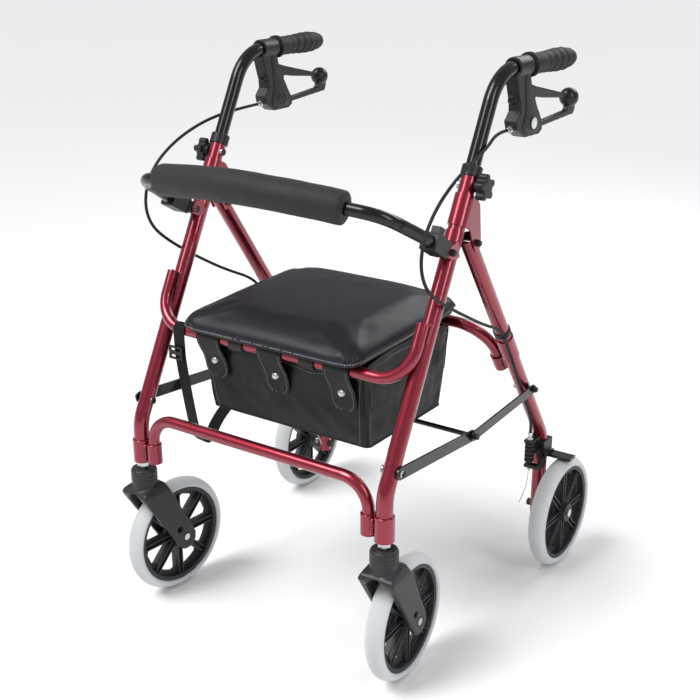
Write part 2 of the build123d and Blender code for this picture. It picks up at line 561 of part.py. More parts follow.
button = hoop_box((HOOP_X - BUTTON_HALF, HOOP_X + BUTTON_HALF),
                  (BUTTON_V - BUTTON_HALF, BUTTON_V + BUTTON_HALF), (BAR_R + BUTTON_STROKE + 0.8, 25))
button = fillet(button.edges().group_by(Axis.Z)[-1], 1)
for side, sign in SIDES.items():
    save(f"backrest_button_{side}", sided(button, sign))

# ---- handles ------------------------------------------------------------------------
HANDLE_Z = 895.0
GRIP_TOE = 2.7           # the grips point slightly outward
handle_corner_y = front_leg_y(HANDLE_Z)
grip_frame = Pos(LEG_X, handle_corner_y, HANDLE_Z) * Rot(0, 0, -GRIP_TOE)
GRIP_START, GRIP_END = 96.0, 226.0
HANDLE_BOTTOM_S = 165.0


def along_grip(t, x=0.0, z=0.0):
    """A point at t behind the handle's corner, in the grip's own frame."""
    p = (grip_frame * Pos(x, t, z)).position
    return p.X, p.Y, p.Z


handle_low = (LEG_X, *down_leg(HANDLE_BOTTOM_S))
handle_path = bent([handle_low, (LEG_X, handle_corner_y, HANDLE_Z), along_grip(GRIP_END - 8)], 80)
handle_tube = pipe(handle_path, HANDLE_R, HANDLE_R - 1.5)
SLIDE_UP, SLIDE_DOWN = 100.0, 25.0
bolt_s = (COLLAR_Z - HEIGHT_BOLT_Z) / cos(radians(FRONT_LEAN))
slot_half = BOLT_R + GAP
slot_low = down_leg(bolt_s + SLIDE_UP)
slot_high = down_leg(bolt_s - SLIDE_DOWN)
slot = flat_bar(slot_low, slot_high, 2 * slot_half, 215, 46, 0.1, 0.1)
slot += disc(*slot_low, 1, 215, 261)
slot += disc(*slot_high, 1, 215, 261)
handle_tube -= slot

grip = revolve(make_face(Polyline(
    (HANDLE_R, GRIP_START - 8), (19, GRIP_START - 8), (19, GRIP_START - 3), (15.6, GRIP_START),
    (16.2, GRIP_START + 40), (18.2, GRIP_START + 74), (18, GRIP_START + 96), (14.5, GRIP_END - 8),
    (11, GRIP_END), (0, GRIP_END), (0, GRIP_END - 7), (HANDLE_R, GRIP_END - 7), close=True)), Axis.Y)
grip = grip_frame * grip

# brake housing: a clamp round the tube and a body that hangs below it
HOUSING_X = (-11.0, 11.0)
LEVER_T = (4.0, 86.0 - 0.0)
PIVOT_T, PIVOT_DZ = 91.0, -87.0      # the lever's pivot, behind and below the handle's corner
housing_line = [(36, -6), (37, -13), (51, -53), (52, -66), (40, -79), (44, -92), (68, -106),
                (112, -106), (122, -100), (119, -86), (101, -60), (84, -30), (78, -12), (76, -6)]


def grip_slab(points, x_low, x_high):
    """A plate square to the grip's pivot axes: points are (behind, above) the corner."""
    face = Plane.YZ.offset(x_low) * make_face(Polyline(*points, close=True))
    return grip_frame * extrude(face, x_high - x_low)


def grip_disc(t, dz, radius, x_low, x_high):
    return grip_frame * rod((x_low, t, dz), (x_high, t, dz), radius)


LEVER_HALF = 4.5
housing = grip_slab(housing_line, *HOUSING_X)
housing += grip_frame * rod((0, 42, 0), (0, 82, 0), 15.5)
housing += grip_frame * rod((-3, 60, -49), (-3, 44, -49), 6)
housing -= grip_frame * rod((-3, 47, -49), (-3, 42, -49), 3)
lever_room = [(82, -11), (60, -30), (66, -80), (73, -102), (140, -112), (140, -11)]
housing -= grip_slab(lever_room, -LEVER_HALF - 0.5, LEVER_HALF + 0.5)
housing += grip_disc(PIVOT_T, PIVOT_DZ, BOLT_R, -8, 8)
housing += grip_disc(PIVOT_T, PIVOT_DZ, 6.5, 11, 13)
housing += grip_disc(PIVOT_T, PIVOT_DZ, 5, -13, -11)
housing -= swept(handle_path, HANDLE_R)
ADJ_T, ADJ_DZ = 44.0, -91.5
barrel = grip_frame * rod((0, ADJ_T + 6, ADJ_DZ), (0, ADJ_T - 12, ADJ_DZ), 3)
barrel += grip_frame * rod((0, ADJ_T - 1, ADJ_DZ), (0, ADJ_T - 6, ADJ_DZ), 4.6)
housing -= barrel

# lever: a flat loop with a ball end
lever_line = [(84, -40), (96, -30), (110, -34), (216, -57), (228, -60), (243, -73), (240, -86),
              (236, -91), (128, -98), (104, -96), (84, -93), (80, -80)]
lever_hole = [(108, -50), (132, -54), (212, -63), (216, -68), (216, -79), (212, -83), (126, -90),
              (114, -84), (104, -68)]
lever = grip_slab(lever_line, -LEVER_HALF, LEVER_HALF) - grip_slab(lever_hole, -20, 20)
BALL_R = 14.5
lever += grip_frame * Pos(0, 226, -64) * Sphere(BALL_R)
lever -= grip_disc(PIVOT_T, PIVOT_DZ, BOLT_R + FIT, -20, 20)

# star knob on the height bolt
KNOB_IN, KNOB_OUT = LEG_X + LEG_R + 0.5, 272.0
knob = disc(height_bolt_y, HEIGHT_BOLT_Z, 9, KNOB_IN, 257)
lobes = disc(height_bolt_y, HEIGHT_BOLT_Z, 13, 257, KNOB_OUT)
knob_axis = Pos(0, height_bolt_y, HEIGHT_BOLT_Z)
for lobe in range(5):
    turn = radians(72 * lobe + 18)
    y, z = height_bolt_y + 14.5 * cos(turn), HEIGHT_BOLT_Z + 14.5 * sin(turn)
    lobes += disc(y, z, 5.5, 257, KNOB_OUT)
knob += lobes
knob -= disc(height_bolt_y, HEIGHT_BOLT_Z, BOLT_R + FIT, 240, 268.5)

for side, sign in SIDES.items():
    save(f"handle_tube_{side}", sided(handle_tube, sign))
    save(f"hand_grip_{side}", sided(grip, sign))
    save(f"brake_housing_{side}", group(sided(housing, sign), sided(barrel, sign)))
    save(f"brake_lever_{side}", sided(lever, sign))
    save(f"height_knob_{side}", sided(knob, sign))

# ---- rear brake arms ----------------------------------------------------------------
ARM_X = (LEG_X + 15.4, LEG_X + 21)
SHOE_GAP = 3.4
shoe_z = 2 * WHEEL_R + SHOE_GAP
arm = slab([(BRAKE_Y - 18, 190), (BRAKE_Y - 6, 190), (BRAKE_Y + 8, BRAKE_Z - 7),
            (BRAKE_Y + 40, shoe_z), (BRAKE_Y + 40, shoe_z + 8), (BRAKE_Y + 6, BRAKE_Z + 9),
            (BRAKE_Y - 8, BRAKE_Z + 8), (BRAKE_Y - 18, 198)], *ARM_X)
arm += box((ARM_X[0], 300), (BRAKE_Y + 18, BRAKE_Y + 40), (shoe_z, shoe_z + 5))
arm += box((CABLE_X - 7, ARM_X[1]), (CABLE_Y - 6, CABLE_Y + 6), (190, 196))
arm -= disc(BRAKE_Y, BRAKE_Z, PIVOT_HOLE_R, 240, 270)
for side, sign in SIDES.items():
    save(f"brake_arm_{side}", sided(arm, sign))


# ---- brake cables -------------------------------------------------------------------
def cable(points):
    """A tube along straight runs joined by arcs as large as the runs allow."""
    spots = [Vector(p) for p in points]
    runs = [b - a for a, b in zip(spots, spots[1:])]
    radii = []
    for before, after in zip(runs, runs[1:]):
        half_turn = radians(before.get_angle(after)) / 2
        radii.append(0.45 * min(before.length, after.length) / tan(half_turn))
    path = bent(points, radii)
    tube = swept(path, CABLE_R)
    section = 3.14159 * CABLE_R ** 2
    print("cable", round(path.length), "mm, smallest arc", round(min(radii)),
          "volume over section times length", round(tube.volume / section / path.length, 4))
    return tube


barrel_tip = along_grip(ADJ_T - 12 - GAP, 0, ADJ_DZ)
after_barrel = along_grip(ADJ_T - 42, 0, ADJ_DZ)
cable_lead = [barrel_tip, after_barrel]
clip_run = rear_down * 24
down_to_brake = [clip_cable - clip_run, clip_cable + clip_run, (247, 120, 360), (246, 153, 312),
                 (242, 170, 290), (238, 181.5, 274), (CABLE_X, CABLE_Y, ADJUSTER_TOP + 0.9)]
left_loop = [(255, -48, 793), (261, -104, 780), (264, -160, 762), (266, -208, 736), (267, -240, 702),
             (267, -248, 664), (266, -232, 630), (264, -198, 604), (261, -147, 576), (258, -92, 548),
             (255, -38, 521)]
right_loop = [(255, -46, 795), (261, -98, 782), (264, -146, 763), (266, -186, 737), (267, -210, 704),
              (267, -216, 668), (266, -204, 636), (264, -176, 610), (261, -134, 581), (258, -88, 553),
              (255, -38, 525)]
save("brake_cable_left", cable(cable_lead + left_loop + down_to_brake))
save("brake_cable_right", flip(cable(cable_lead + right_loop + down_to_brake)))


# ---- casters and wheels -------------------------------------------------------------
# a caster is modelled with its stem axis on the origin, trailing along +Y
FORK_IN, FORK_OUT = 19.5, 30.0
AXLE_DROP = WHEEL_R
HEAD_R = 21.0
fork_hull = make_hull([e for y, z, r in ((63, 97, 20), (-18, 203, 8), (17, 212, 8))
                       for e in (Pos(y, z) * Circle(r)).edges()])
fork = Plane.YZ.offset(-FORK_OUT) * fork_hull
fork = extrude(fork, 2 * FORK_OUT)
front_view = make_face(Polyline((-HEAD_R, 226), (-FORK_OUT, 203), (-FORK_OUT + 1.5, 70),
                                (FORK_OUT - 1.5, 70), (FORK_OUT, 203), (HEAD_R, 226), close=True))
fork &= extrude(Plane.XZ.offset(-120) * front_view, 240)
fork += rod((0, 0, 206), (0, 0, FORK_TOP_Z), HEAD_R)
fork = fillet(fork.edges().group_by(Axis.Z)[-1], 2.5)
fork -= ring((0, 0, 235.5), (0, 0, 237), HEAD_R + 1, HEAD_R - 0.8)
fork -= box((-FORK_IN, FORK_IN), (-60, 120), (60, 186))
fork -= rod((0, -60, 186), (0, 120, 186), FORK_IN)
fork -= rod((0, 0, 190), (0, 0, 260), STEM_R + FIT)
fork -= rod((0, 0, 160), (0, 0, 206), 11)
fork -= rod((0, 0, FORK_TOP_Z - 2), (0, 0, FORK_TOP_Z + 1), 9)
fork -= disc(TRAIL, AXLE_DROP, AXLE_R, -40, 40)
fork -= disc(TRAIL, AXLE_DROP, 8, FORK_OUT - 4, 40)
fork -= disc(TRAIL, AXLE_DROP, 8, -40, -FORK_OUT + 4)
spare_hole = Plane.YZ.offset(-40) * Pos(TRAIL - 14, AXLE_DROP + 19) * RegularPolygon(6, 6)
fork -= extrude(spare_hole, 80)
caster_axle = disc(TRAIL, AXLE_DROP, AXLE_R, -FORK_OUT + 2, FORK_OUT - 2)
for x in (FORK_OUT - 3.9, -FORK_OUT + 0.9):
    caster_axle += Pos(x, TRAIL, AXLE_DROP) * Rot(0, 90, 0) * extrude(RegularPolygon(6.5, 6), 3)
for sign in SIDES.values():
    caster_axle += ring((sign * (HUB_HALF + 0.3), TRAIL, AXLE_DROP), (sign * FORK_IN, TRAIL, AXLE_DROP),
                        7, AXLE_R)

# wheels are modelled about their own axle
SPOKES = 8
RIM_BAND = 7.0
HUB_R = 16.0
half_tyre = TYRE_W / 2
tyre_section = make_face(
    ThreePointArc((-half_tyre + 1.2, RIM_R + 7), (0, WHEEL_R), (half_tyre - 1.2, RIM_R + 7))
    + ThreePointArc((half_tyre - 1.2, RIM_R + 7), (half_tyre, RIM_R + 4), (half_tyre - 3, RIM_R))
    + Line((half_tyre - 3, RIM_R), (-half_tyre + 3, RIM_R))
    + ThreePointArc((-half_tyre + 3, RIM_R), (-half_tyre, RIM_R + 4), (-half_tyre + 1.2, RIM_R + 7)))
tyre = revolve(tyre_section, Axis.X)
rim = disc(0, 0, RIM_R, -12, 12) - disc(0, 0, RIM_R - RIM_BAND, -13, 13)
rim += disc(0, 0, HUB_R, -HUB_HALF, HUB_HALF)
web = disc(0, 0, RIM_R - RIM_BAND + 1, -2, 2)
for spoke in range(SPOKES):
    window = make_face(Polyline((-7, 27), (7, 27), (18, 62), (10, 69), (-10, 69), (-18, 62), close=True))
    window = extrude(Plane.YZ.offset(-5) * window, 10)
    web -= Rot((spoke + 0.5) * 360 / SPOKES, 0, 0) * window
rim += web
for spoke in range(SPOKES):
    blade = box((-9, 9), (-5.2, -2.8), (HUB_R - 2, RIM_R - RIM_BAND + 1))
    blade += box((-9, 9), (2.8, 5.2), (HUB_R - 2, RIM_R - RIM_BAND + 1))
    rim += Rot(spoke * 360 / SPOKES, 0, 0) * blade
rim -= disc(0, 0, AXLE_R + FIT, -30, 30)

for side, sign in SIDES.items():
    caster = Pos(sign * LEG_X, FOOT_Y, 0) * Rot(0, 0, CASTER_TURN[side])
    save(f"caster_fork_{side}", caster * fork)
    save(f"caster_axle_{side}", caster * caster_axle)
    save(f"front_tyre_{side}", caster * Pos(0, TRAIL, AXLE_DROP) * tyre)
    save(f"front_rim_{side}", caster * Pos(0, TRAIL, AXLE_DROP) * rim)
    save(f"rear_tyre_{side}", Pos(sign * REAR_WHEEL_X, REAR_FOOT_Y, AXLE_Z) * tyre)
    save(f"rear_rim_{side}", Pos(sign * REAR_WHEEL_X, REAR_FOOT_Y, AXLE_Z) * rim)
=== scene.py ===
"""Looks, stage and camera of the rollator walker, round the frame in model.glb."""
import math

import bmesh
import bpy
import numpy as np
from mathutils import Matrix, Vector, noise
from mathutils.bvhtree import BVHTree


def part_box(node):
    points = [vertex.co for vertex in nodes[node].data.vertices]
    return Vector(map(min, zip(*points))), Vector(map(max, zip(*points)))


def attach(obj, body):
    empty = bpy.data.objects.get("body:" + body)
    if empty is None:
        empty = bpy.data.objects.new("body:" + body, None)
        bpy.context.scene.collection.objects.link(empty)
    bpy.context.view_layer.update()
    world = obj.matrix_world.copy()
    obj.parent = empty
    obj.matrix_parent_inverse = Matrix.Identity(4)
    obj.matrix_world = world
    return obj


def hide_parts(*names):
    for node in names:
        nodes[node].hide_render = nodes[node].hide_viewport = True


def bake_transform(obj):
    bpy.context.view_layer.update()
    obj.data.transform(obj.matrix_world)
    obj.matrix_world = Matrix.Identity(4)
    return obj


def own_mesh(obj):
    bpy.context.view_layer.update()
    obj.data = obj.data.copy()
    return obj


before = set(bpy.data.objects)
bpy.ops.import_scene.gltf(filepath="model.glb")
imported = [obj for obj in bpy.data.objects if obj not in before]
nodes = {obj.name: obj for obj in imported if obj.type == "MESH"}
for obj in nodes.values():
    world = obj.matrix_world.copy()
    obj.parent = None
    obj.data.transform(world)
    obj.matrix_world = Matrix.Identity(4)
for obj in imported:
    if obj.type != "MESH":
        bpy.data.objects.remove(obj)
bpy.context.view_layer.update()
SIDES = {"left": 1, "right": -1}
FRONT_LEAN, REST_TILT = math.radians(27.5), math.radians(30)
LEG_X = 0.238
UP = Vector((0, 0, 1))
COLLAR_Y, COLLAR_Z = -0.066, 0.751
SEAT_TUBE = Vector((0, -0.2307, 0.483))
REAR_TUBE = Vector((0, 0.0569, 0.480))


def down_leg(s, t=0.0, x=LEG_X):
    """A point s below the collar along the front leg, t behind its axis."""
    back = Vector((0, math.cos(FRONT_LEAN), -math.sin(FRONT_LEAN)))
    down = Vector((0, -math.sin(FRONT_LEAN), -math.cos(FRONT_LEAN)))
    return Vector((x, COLLAR_Y, COLLAR_Z)) + down * s + back * t


# ---- materials -----------------------------------------------------------------------
class Shader:
    """A Principled material with short calls for the nodes around it."""

    def __init__(self, name, **settings):
        self.mat = bpy.data.materials.new(name)
        self.mat.use_nodes = True
        self.tree = self.mat.node_tree
        self.out = self.tree.nodes["Principled BSDF"]
        self.where = self.tree.nodes.new("ShaderNodeTexCoord").outputs["Object"]
        self.set(**settings)
        self.normal = None

    def set(self, **settings):
        for key, value in settings.items():
            self.out.inputs[key.replace("_", " ")].default_value = value

    def node(self, kind, **settings):
        made = self.tree.nodes.new(kind)
        for key, value in settings.items():
            setattr(made, key, value)
        return made

    def link(self, a, b):
        self.tree.links.new(a, b)

    def feed(self, value, target):
        """Links a socket's value, or sets a number or a colour."""
        if hasattr(value, "is_linked"):
            self.link(value, target)
        else:
            target.default_value = (*value, 1) if isinstance(value, tuple) else value

    def texture(self, made, out, **inputs):
        for key, value in inputs.items():
            made.inputs[key].default_value = value
        self.link(self.where, made.inputs["Vector"])
        return made.outputs[out]

    def noise(self, scale, detail=2.0, roughness=0.5):
        made = self.node("ShaderNodeTexNoise")
        return self.texture(made, "Fac", Scale=scale, Detail=detail, Roughness=roughness)

    def cells(self, scale, feature="F1", out="Distance"):
        return self.texture(self.node("ShaderNodeTexVoronoi", feature=feature), out, Scale=scale)

    def wave(self, scale, axis="X"):
        return self.texture(self.node("ShaderNodeTexWave", bands_direction=axis), "Fac", Scale=scale)

    def ramp(self, source, stops):
        made = self.node("ShaderNodeValToRGB")
        elements = made.color_ramp.elements
        while len(elements) < len(stops):
            elements.new(0.5)
        for element, (place, colour) in zip(elements, stops):
            element.position = place
            element.color = (*colour, 1) if isinstance(colour, tuple) else (colour,) * 3 + (1,)
        self.link(source, made.inputs["Fac"])
        return made.outputs["Color"]

    def mix(self, factor, a, b):
        made = self.node("ShaderNodeMix", data_type="RGBA")
        for socket, value in (("Factor", factor), ("A", a), ("B", b)):
            self.feed(value, [i for i in made.inputs if i.name == socket and i.enabled][0])
        return [o for o in made.outputs if o.enabled][0]

    def math(self, kind, a, b=0.0):
        made = self.node("ShaderNodeMath", operation=kind)
        for target, value in zip(made.inputs, (a, b)):
            self.feed(value, target)
        return made.outputs[0]

    def colour(self, source):
        self.link(source, self.out.inputs["Base Color"])

    def rough(self, source, low, high):
        made = self.node("ShaderNodeMapRange")
        made.inputs["To Min"].default_value = low
        made.inputs["To Max"].default_value = high
        self.link(source, made.inputs["Value"])
        self.link(made.outputs["Result"], self.out.inputs["Roughness"])

    def bump(self, source, strength, distance):
        made = self.node("ShaderNodeBump")
        made.inputs["Strength"].default_value = strength
        made.inputs["Distance"].default_value = distance
        self.link(source, made.inputs["Height"])
        if self.normal:
            self.link(self.normal, made.inputs["Normal"])
        self.normal = made.outputs["Normal"]
        self.link(self.normal, self.out.inputs["Normal"])

    def soften(self, radius):
        """Rounds the sharp edges of moulded or pressed pieces in the shading."""
        made = self.node("ShaderNodeBevel", samples=4)
        made.inputs["Radius"].default_value = radius
        self.normal = made.outputs["Normal"]
        self.link(self.normal, self.out.inputs["Normal"])


def red_paint():
    s = Shader("red_metallic_paint", Metallic=0.82, Coat_Weight=1.0, Coat_Roughness=0.05)
    tone = s.noise(9, 3)
    flakes = s.cells(2600, out="Color")
    deep = s.mix(tone, (0.205, 0.004, 0.018), (0.29, 0.008, 0.030))
    s.colour(s.mix(s.ramp(flakes, [(0.72, 0.0), (0.95, 0.35)]), deep, (0.64, 0.10, 0.15)))
    s.rough(s.noise(60, 4), 0.27, 0.38)
    s.bump(s.noise(1900, 1), 0.10, 0.0002)
    return s.mat


def black_paint():
    s = Shader("black_gloss_paint", Coat_Weight=0.35, Coat_Roughness=0.05, Specular_IOR_Level=0.25)
    s.colour(s.mix(s.noise(14, 3), (0.003, 0.003, 0.0035), (0.006, 0.006, 0.007)))
    s.rough(s.noise(45, 5), 0.16, 0.30)
    s.bump(s.noise(420, 2), 0.12, 0.0002)
    return s.mat


def plastic(name, dark, light, low, high, grain=1500, edge=0.0006):
    s = Shader(name, Specular_IOR_Level=0.34)
    s.soften(edge)
    tone = s.noise(28, 5, 0.6)
    scuff = s.ramp(s.noise(160, 6, 0.72), [(0.56, 0.0), (0.74, 0.55)])
    s.colour(s.mix(scuff, s.mix(tone, dark, light), tuple(min(1, c * 1.9 + 0.012) for c in light)))
    s.rough(s.mix(0.5, tone, scuff), low, high)
    s.bump(s.cells(grain), 0.22, 0.00012)
    return s.mat


def rubber(name, dark, light, grain=1900):
    s = Shader(name, Specular_IOR_Level=0.35)
    s.colour(s.mix(s.noise(40, 5, 0.6), dark, light))
    s.rough(s.noise(90, 3), 0.52, 0.74)
    s.bump(s.noise(grain, 3), 0.30, 0.00015)
    return s.mat


def zinc():
    s = Shader("bright_zinc", Metallic=1.0)
    s.soften(0.0004)
    s.colour(s.mix(s.noise(70, 4), (0.52, 0.53, 0.54), (0.74, 0.74, 0.73)))
    s.rough(s.noise(240, 5, 0.7), 0.20, 0.42)
    s.bump(s.noise(900, 3), 0.12, 0.0001)
    return s.mat


RING_PITCH = 0.0032


def tyre(name, centre):
    """Pale grey tyre: moulded rings round the sidewall and dust on the tread."""
    s = Shader(name, Specular_IOR_Level=0.4, Sheen_Weight=0.1)
    away = s.node("ShaderNodeVectorMath", operation="DISTANCE")
    away.inputs[1].default_value = centre
    s.link(s.where, away.inputs[0])
    radius = away.outputs["Value"]
    dust = s.noise(26, 6, 0.65)
    share = s.math("MULTIPLY", radius, 10.0)
    tread = s.math("MULTIPLY", s.ramp(share, [(0.955, 0.0), (1.0, 1.0)]), dust)
    base = s.mix(dust, (0.53, 0.55, 0.565), (0.66, 0.68, 0.69))
    speck = s.ramp(s.noise(700, 4, 0.7), [(0.60, 0.0), (0.78, 0.5)])
    s.colour(s.mix(speck, s.mix(tread, base, (0.42, 0.42, 0.41)), (0.34, 0.345, 0.35)))
    s.rough(dust, 0.50, 0.72)
    rings = s.math("SINE", s.math("MULTIPLY", radius, 2 * math.pi / RING_PITCH))
    side = s.ramp(share, [(0.86, 1.0), (0.915, 0.0)])
    s.bump(s.math("MULTIPLY", rings, side), 0.35, 0.0003)
    s.bump(s.noise(1300, 3), 0.22, 0.00015)
    return s.mat


def vinyl():
    s = Shader("seat_vinyl", Specular_IOR_Level=0.32)
    s.colour(s.mix(s.noise(18, 4, 0.6), (0.0045, 0.0052, 0.0092), (0.009, 0.0102, 0.016)))
    s.rough(s.noise(55, 5, 0.6), 0.34, 0.50)
    s.bump(s.noise(34, 4, 0.6), 0.16, 0.0016)
    s.bump(s.cells(950, "DISTANCE_TO_EDGE"), 0.40, 0.00025)
    s.bump(s.noise(2300, 2), 0.15, 0.0001)
    return s.mat


def foam():
    s = Shader("charcoal_foam", Specular_IOR_Level=0.28, Sheen_Weight=0.05, Sheen_Roughness=0.6)
    pores = s.cells(1300)
    s.colour(s.mix(s.noise(24, 5, 0.6), (0.011, 0.0112, 0.0122), (0.020, 0.0204, 0.022)))
    s.rough(s.noise(120, 3), 0.52, 0.70)
    s.bump(s.noise(46, 3), 0.10, 0.0012)
    s.bump(pores, 0.42, 0.00035)
    return s.mat


def leatherette():
    s = Shader("bag_leatherette", Specular_IOR_Level=0.34)
    s.colour(s.mix(s.noise(22, 5, 0.6), (0.003, 0.003, 0.0034), (0.008, 0.008, 0.009)))
    s.rough(s.noise(75, 5, 0.62), 0.38, 0.60)
    s.bump(s.noise(30, 5, 0.62), 0.35, 0.0022)
    s.bump(s.cells(1100, "DISTANCE_TO_EDGE"), 0.45, 0.0002)
    return s.mat


def webbing():
    s = Shader("strap_webbing", Specular_IOR_Level=0.2)
    along, across = s.wave(260, "Z"), s.wave(330, "X")
    weave = s.math("MULTIPLY", along, across)
    s.colour(s.mix(weave, (0.004, 0.004, 0.005), (0.020, 0.020, 0.022)))
    s.rough(weave, 0.55, 0.85)
    s.bump(weave, 0.7, 0.0005)
    return s.mat


def thread():
    s = Shader("stitching_thread", Sheen_Weight=0.2)
    s.colour(s.mix(s.noise(500, 3), (0.30, 0.30, 0.31), (0.52, 0.52, 0.53)))
    s.rough(s.noise(800, 2), 0.6, 0.85)
    s.bump(s.wave(2500, "DIAGONAL"), 0.4, 0.0001)
    return s.mat


def badge_face():
    s = Shader("blank_badge", Coat_Weight=0.6, Coat_Roughness=0.1)
    s.colour(s.mix(s.noise(120, 3), (0.55, 0.60, 0.58), (0.72, 0.76, 0.73)))
    s.rough(s.noise(300, 3), 0.25, 0.4)
    s.bump(s.noise(900, 2), 0.1, 0.0001)
    return s.mat


RED, BLACK, ZINC = red_paint(), black_paint(), zinc()
PLASTIC = plastic("black_moulded_plastic", (0.008, 0.008, 0.009), (0.016, 0.016, 0.018), 0.36, 0.56)
FORK = plastic("fork_plastic", (0.016, 0.017, 0.0185), (0.028, 0.029, 0.032), 0.34, 0.50, 1300, 0.001)
RIM = plastic("rim_plastic", (0.020, 0.022, 0.024), (0.036, 0.038, 0.041), 0.42, 0.62, 1200, 0.0007)
SATIN = plastic("black_satin_plastic", (0.007, 0.007, 0.008), (0.013, 0.013, 0.014), 0.26, 0.42)
GRIP = rubber("grip_rubber", (0.010, 0.010, 0.011), (0.022, 0.022, 0.024))
CABLE = rubber("cable_sheath", (0.006, 0.006, 0.007), (0.012, 0.012, 0.013), 900)
VINYL, FOAM, LEATHER = vinyl(), foam(), leatherette()
WEBBING, THREAD, BADGE = webbing(), thread(), badge_face()


def paint(material, *names):
    """Gives CAD nodes their material and rounds their shading."""
    for name in names:
        mesh = nodes[name].data
        mesh.materials.clear()
        mesh.materials.append(material)
        mesh.shade_smooth()
        mesh.set_sharp_from_angle(angle=math.radians(32))


def paint_where(name, material, inside):
    """A second material on the faces of a CAD node whose centres pass a test."""
    mesh = nodes[name].data
    mesh.materials.append(material)
    index = len(mesh.materials) - 1
    for face in mesh.polygons:
        if inside(face.center):
            face.material_index = index


paint(RED, "front_leg_left", "front_leg_right", "lower_crossbar", "seat_tube", "leg_cups", "gussets",
      "backrest_ears", "rear_leg_left", "rear_leg_right", "rear_tube", "rear_tube_cups")
paint(BLACK, "handle_tube_left", "handle_tube_right", "backrest_tube", "front_braces", "rear_braces",
      "cross_rod", "brake_arm_left", "brake_arm_right")
paint(ZINC, "caster_stems", "frame_bolts", "rear_frame_bolts", "rear_axles", "caster_axle_left",
      "caster_axle_right", "cable_adjusters")
paint(PLASTIC, "leg_collars", "brake_brackets", "backrest_sockets", "seat_clips", "seat_board",
      "strap_buckle", "cable_clips", "height_knob_left", "height_knob_right", "brake_housing_left",
      "brake_housing_right", "backrest_button_left", "backrest_button_right")
paint(SATIN, "brake_lever_left", "brake_lever_right")
paint(FORK, "caster_fork_left", "caster_fork_right")
paint(RIM, "front_rim_left", "front_rim_right", "rear_rim_left", "rear_rim_right")
paint(GRIP, "hand_grip_left", "hand_grip_right", "cable_boots")
for end in ("front", "rear"):
    for side in SIDES:
        low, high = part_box(f"{end}_tyre_{side}")
        paint(tyre(f"tyre_{end}_{side}", (low + high) / 2), f"{end}_tyre_{side}")
# the cap nuts outside and the locking nuts inside are black
HIGH_BOLTS, HIGH_CAP_X, LOW_CAP_X, LOCK_NUT_X = 0.6, 0.2534, 0.2582, 0.2235


def is_nut(p):
    return abs(p.x) > (HIGH_CAP_X if p.z > HIGH_BOLTS else LOW_CAP_X) or abs(p.x) < LOCK_NUT_X


for name in ("frame_bolts", "rear_frame_bolts", "rear_braces"):
    paint_where(name, PLASTIC, is_nut)
paint_where("rear_axles", PLASTIC, lambda p: abs(p.x) < LOCK_NUT_X)


def moulded(voxel, times, *names):
    """Melts the edges of moulded CAD pieces into soft curves."""
    for name in names:
        mod = nodes[name].modifiers.new("melt", "REMESH")
        mod.mode = "VOXEL"
        mod.voxel_size = voxel
        mod.use_smooth_shade = True
        mod = nodes[name].modifiers.new("soften", "SMOOTH")
        mod.factor = 0.5
        mod.iterations = times


moulded(0.0016, 9, "caster_fork_left", "caster_fork_right")
moulded(0.0010, 5, "brake_housing_left", "brake_housing_right", "brake_lever_left", "brake_lever_right")
moulded(0.0012, 4, "height_knob_left", "height_knob_right")


# ---- mesh helpers --------------------------------------------------------------------
def linked(name, data):
    obj = bpy.data.objects.new(name, data)
    bpy.context.scene.collection.objects.link(obj)
    return obj


def add(name, verts, faces, material):
    """A new object from vertices and faces, with outward normals and smooth shading."""
    mesh = bpy.data.meshes.new(name)
    mesh.from_pydata([tuple(v) for v in verts], [], faces)
    work = bmesh.new()
    work.from_mesh(mesh)
    bmesh.ops.recalc_face_normals(work, faces=work.faces)
    work.to_mesh(mesh)
    work.free()
    mesh.materials.append(material)
    mesh.shade_smooth()
    mesh.set_sharp_from_angle(angle=math.radians(40))
    return linked(name, mesh)


def frames_along(points):
    """(point, side, normal) at every point of a line, twisting as little as possible."""
    out, side = [], Vector((1, 0, 0))
    for i, p in enumerate(points):
        ahead = (points[min(i + 1, len(points) - 1)] - points[max(i - 1, 0)]).normalized()
        side = (side - ahead * side.dot(ahead)).normalized()
        out.append((p, side.copy(), ahead.cross(side).normalized()))
    return out


def ring_faces(rings, count, closed=False):
    """Quads between rings of count vertices each; closed joins the last ring to the first."""
    faces = []
    for i in range(rings if closed else rings - 1):
        j = (i + 1) % rings
        for k in range(count):
            n = (k + 1) % count
            faces.append((i * count + k, i * count + n, j * count + n, j * count + k))
    return faces


def end_faces(total, count):
    """The two faces that close the first and the last ring of count vertices."""
    return [tuple(range(count))[::-1], tuple(range(total - count, total))]


def tube_mesh(points, radius, around=16, cap=True):
    """Vertices and faces of a round tube; radius is a number or one for each point."""
    radii = radius if isinstance(radius, (list, tuple)) else [radius] * len(points)
    verts = []
    for (p, side, normal), r in zip(frames_along(points), radii):
        for k in range(around):
            a = 2 * math.pi * k / around
            verts.append(p + side * (r * math.cos(a)) + normal * (r * math.sin(a)))
    faces = ring_faces(len(points), around)
    if cap:
        faces += end_faces(len(verts), around)
    return verts, faces


def tube(name, points, radius, material, around=16, cap=True):
    return add(name, *tube_mesh(points, radius, around, cap), material)


def merged(parts):
    """One vertex and face list from several."""
    verts, faces = [], []
    for v, f in parts:
        faces += [tuple(i + len(verts) for i in face) for face in f]
        verts += list(v)
    return verts, faces


def applied(obj):
    """Bakes the modifiers into the mesh."""
    bpy.context.view_layer.update()
    graph = bpy.context.evaluated_depsgraph_get()
    mesh = bpy.data.meshes.new_from_object(obj.evaluated_get(graph))
    obj.modifiers.clear()
    obj.data = mesh
    mesh.shade_smooth()
    return obj


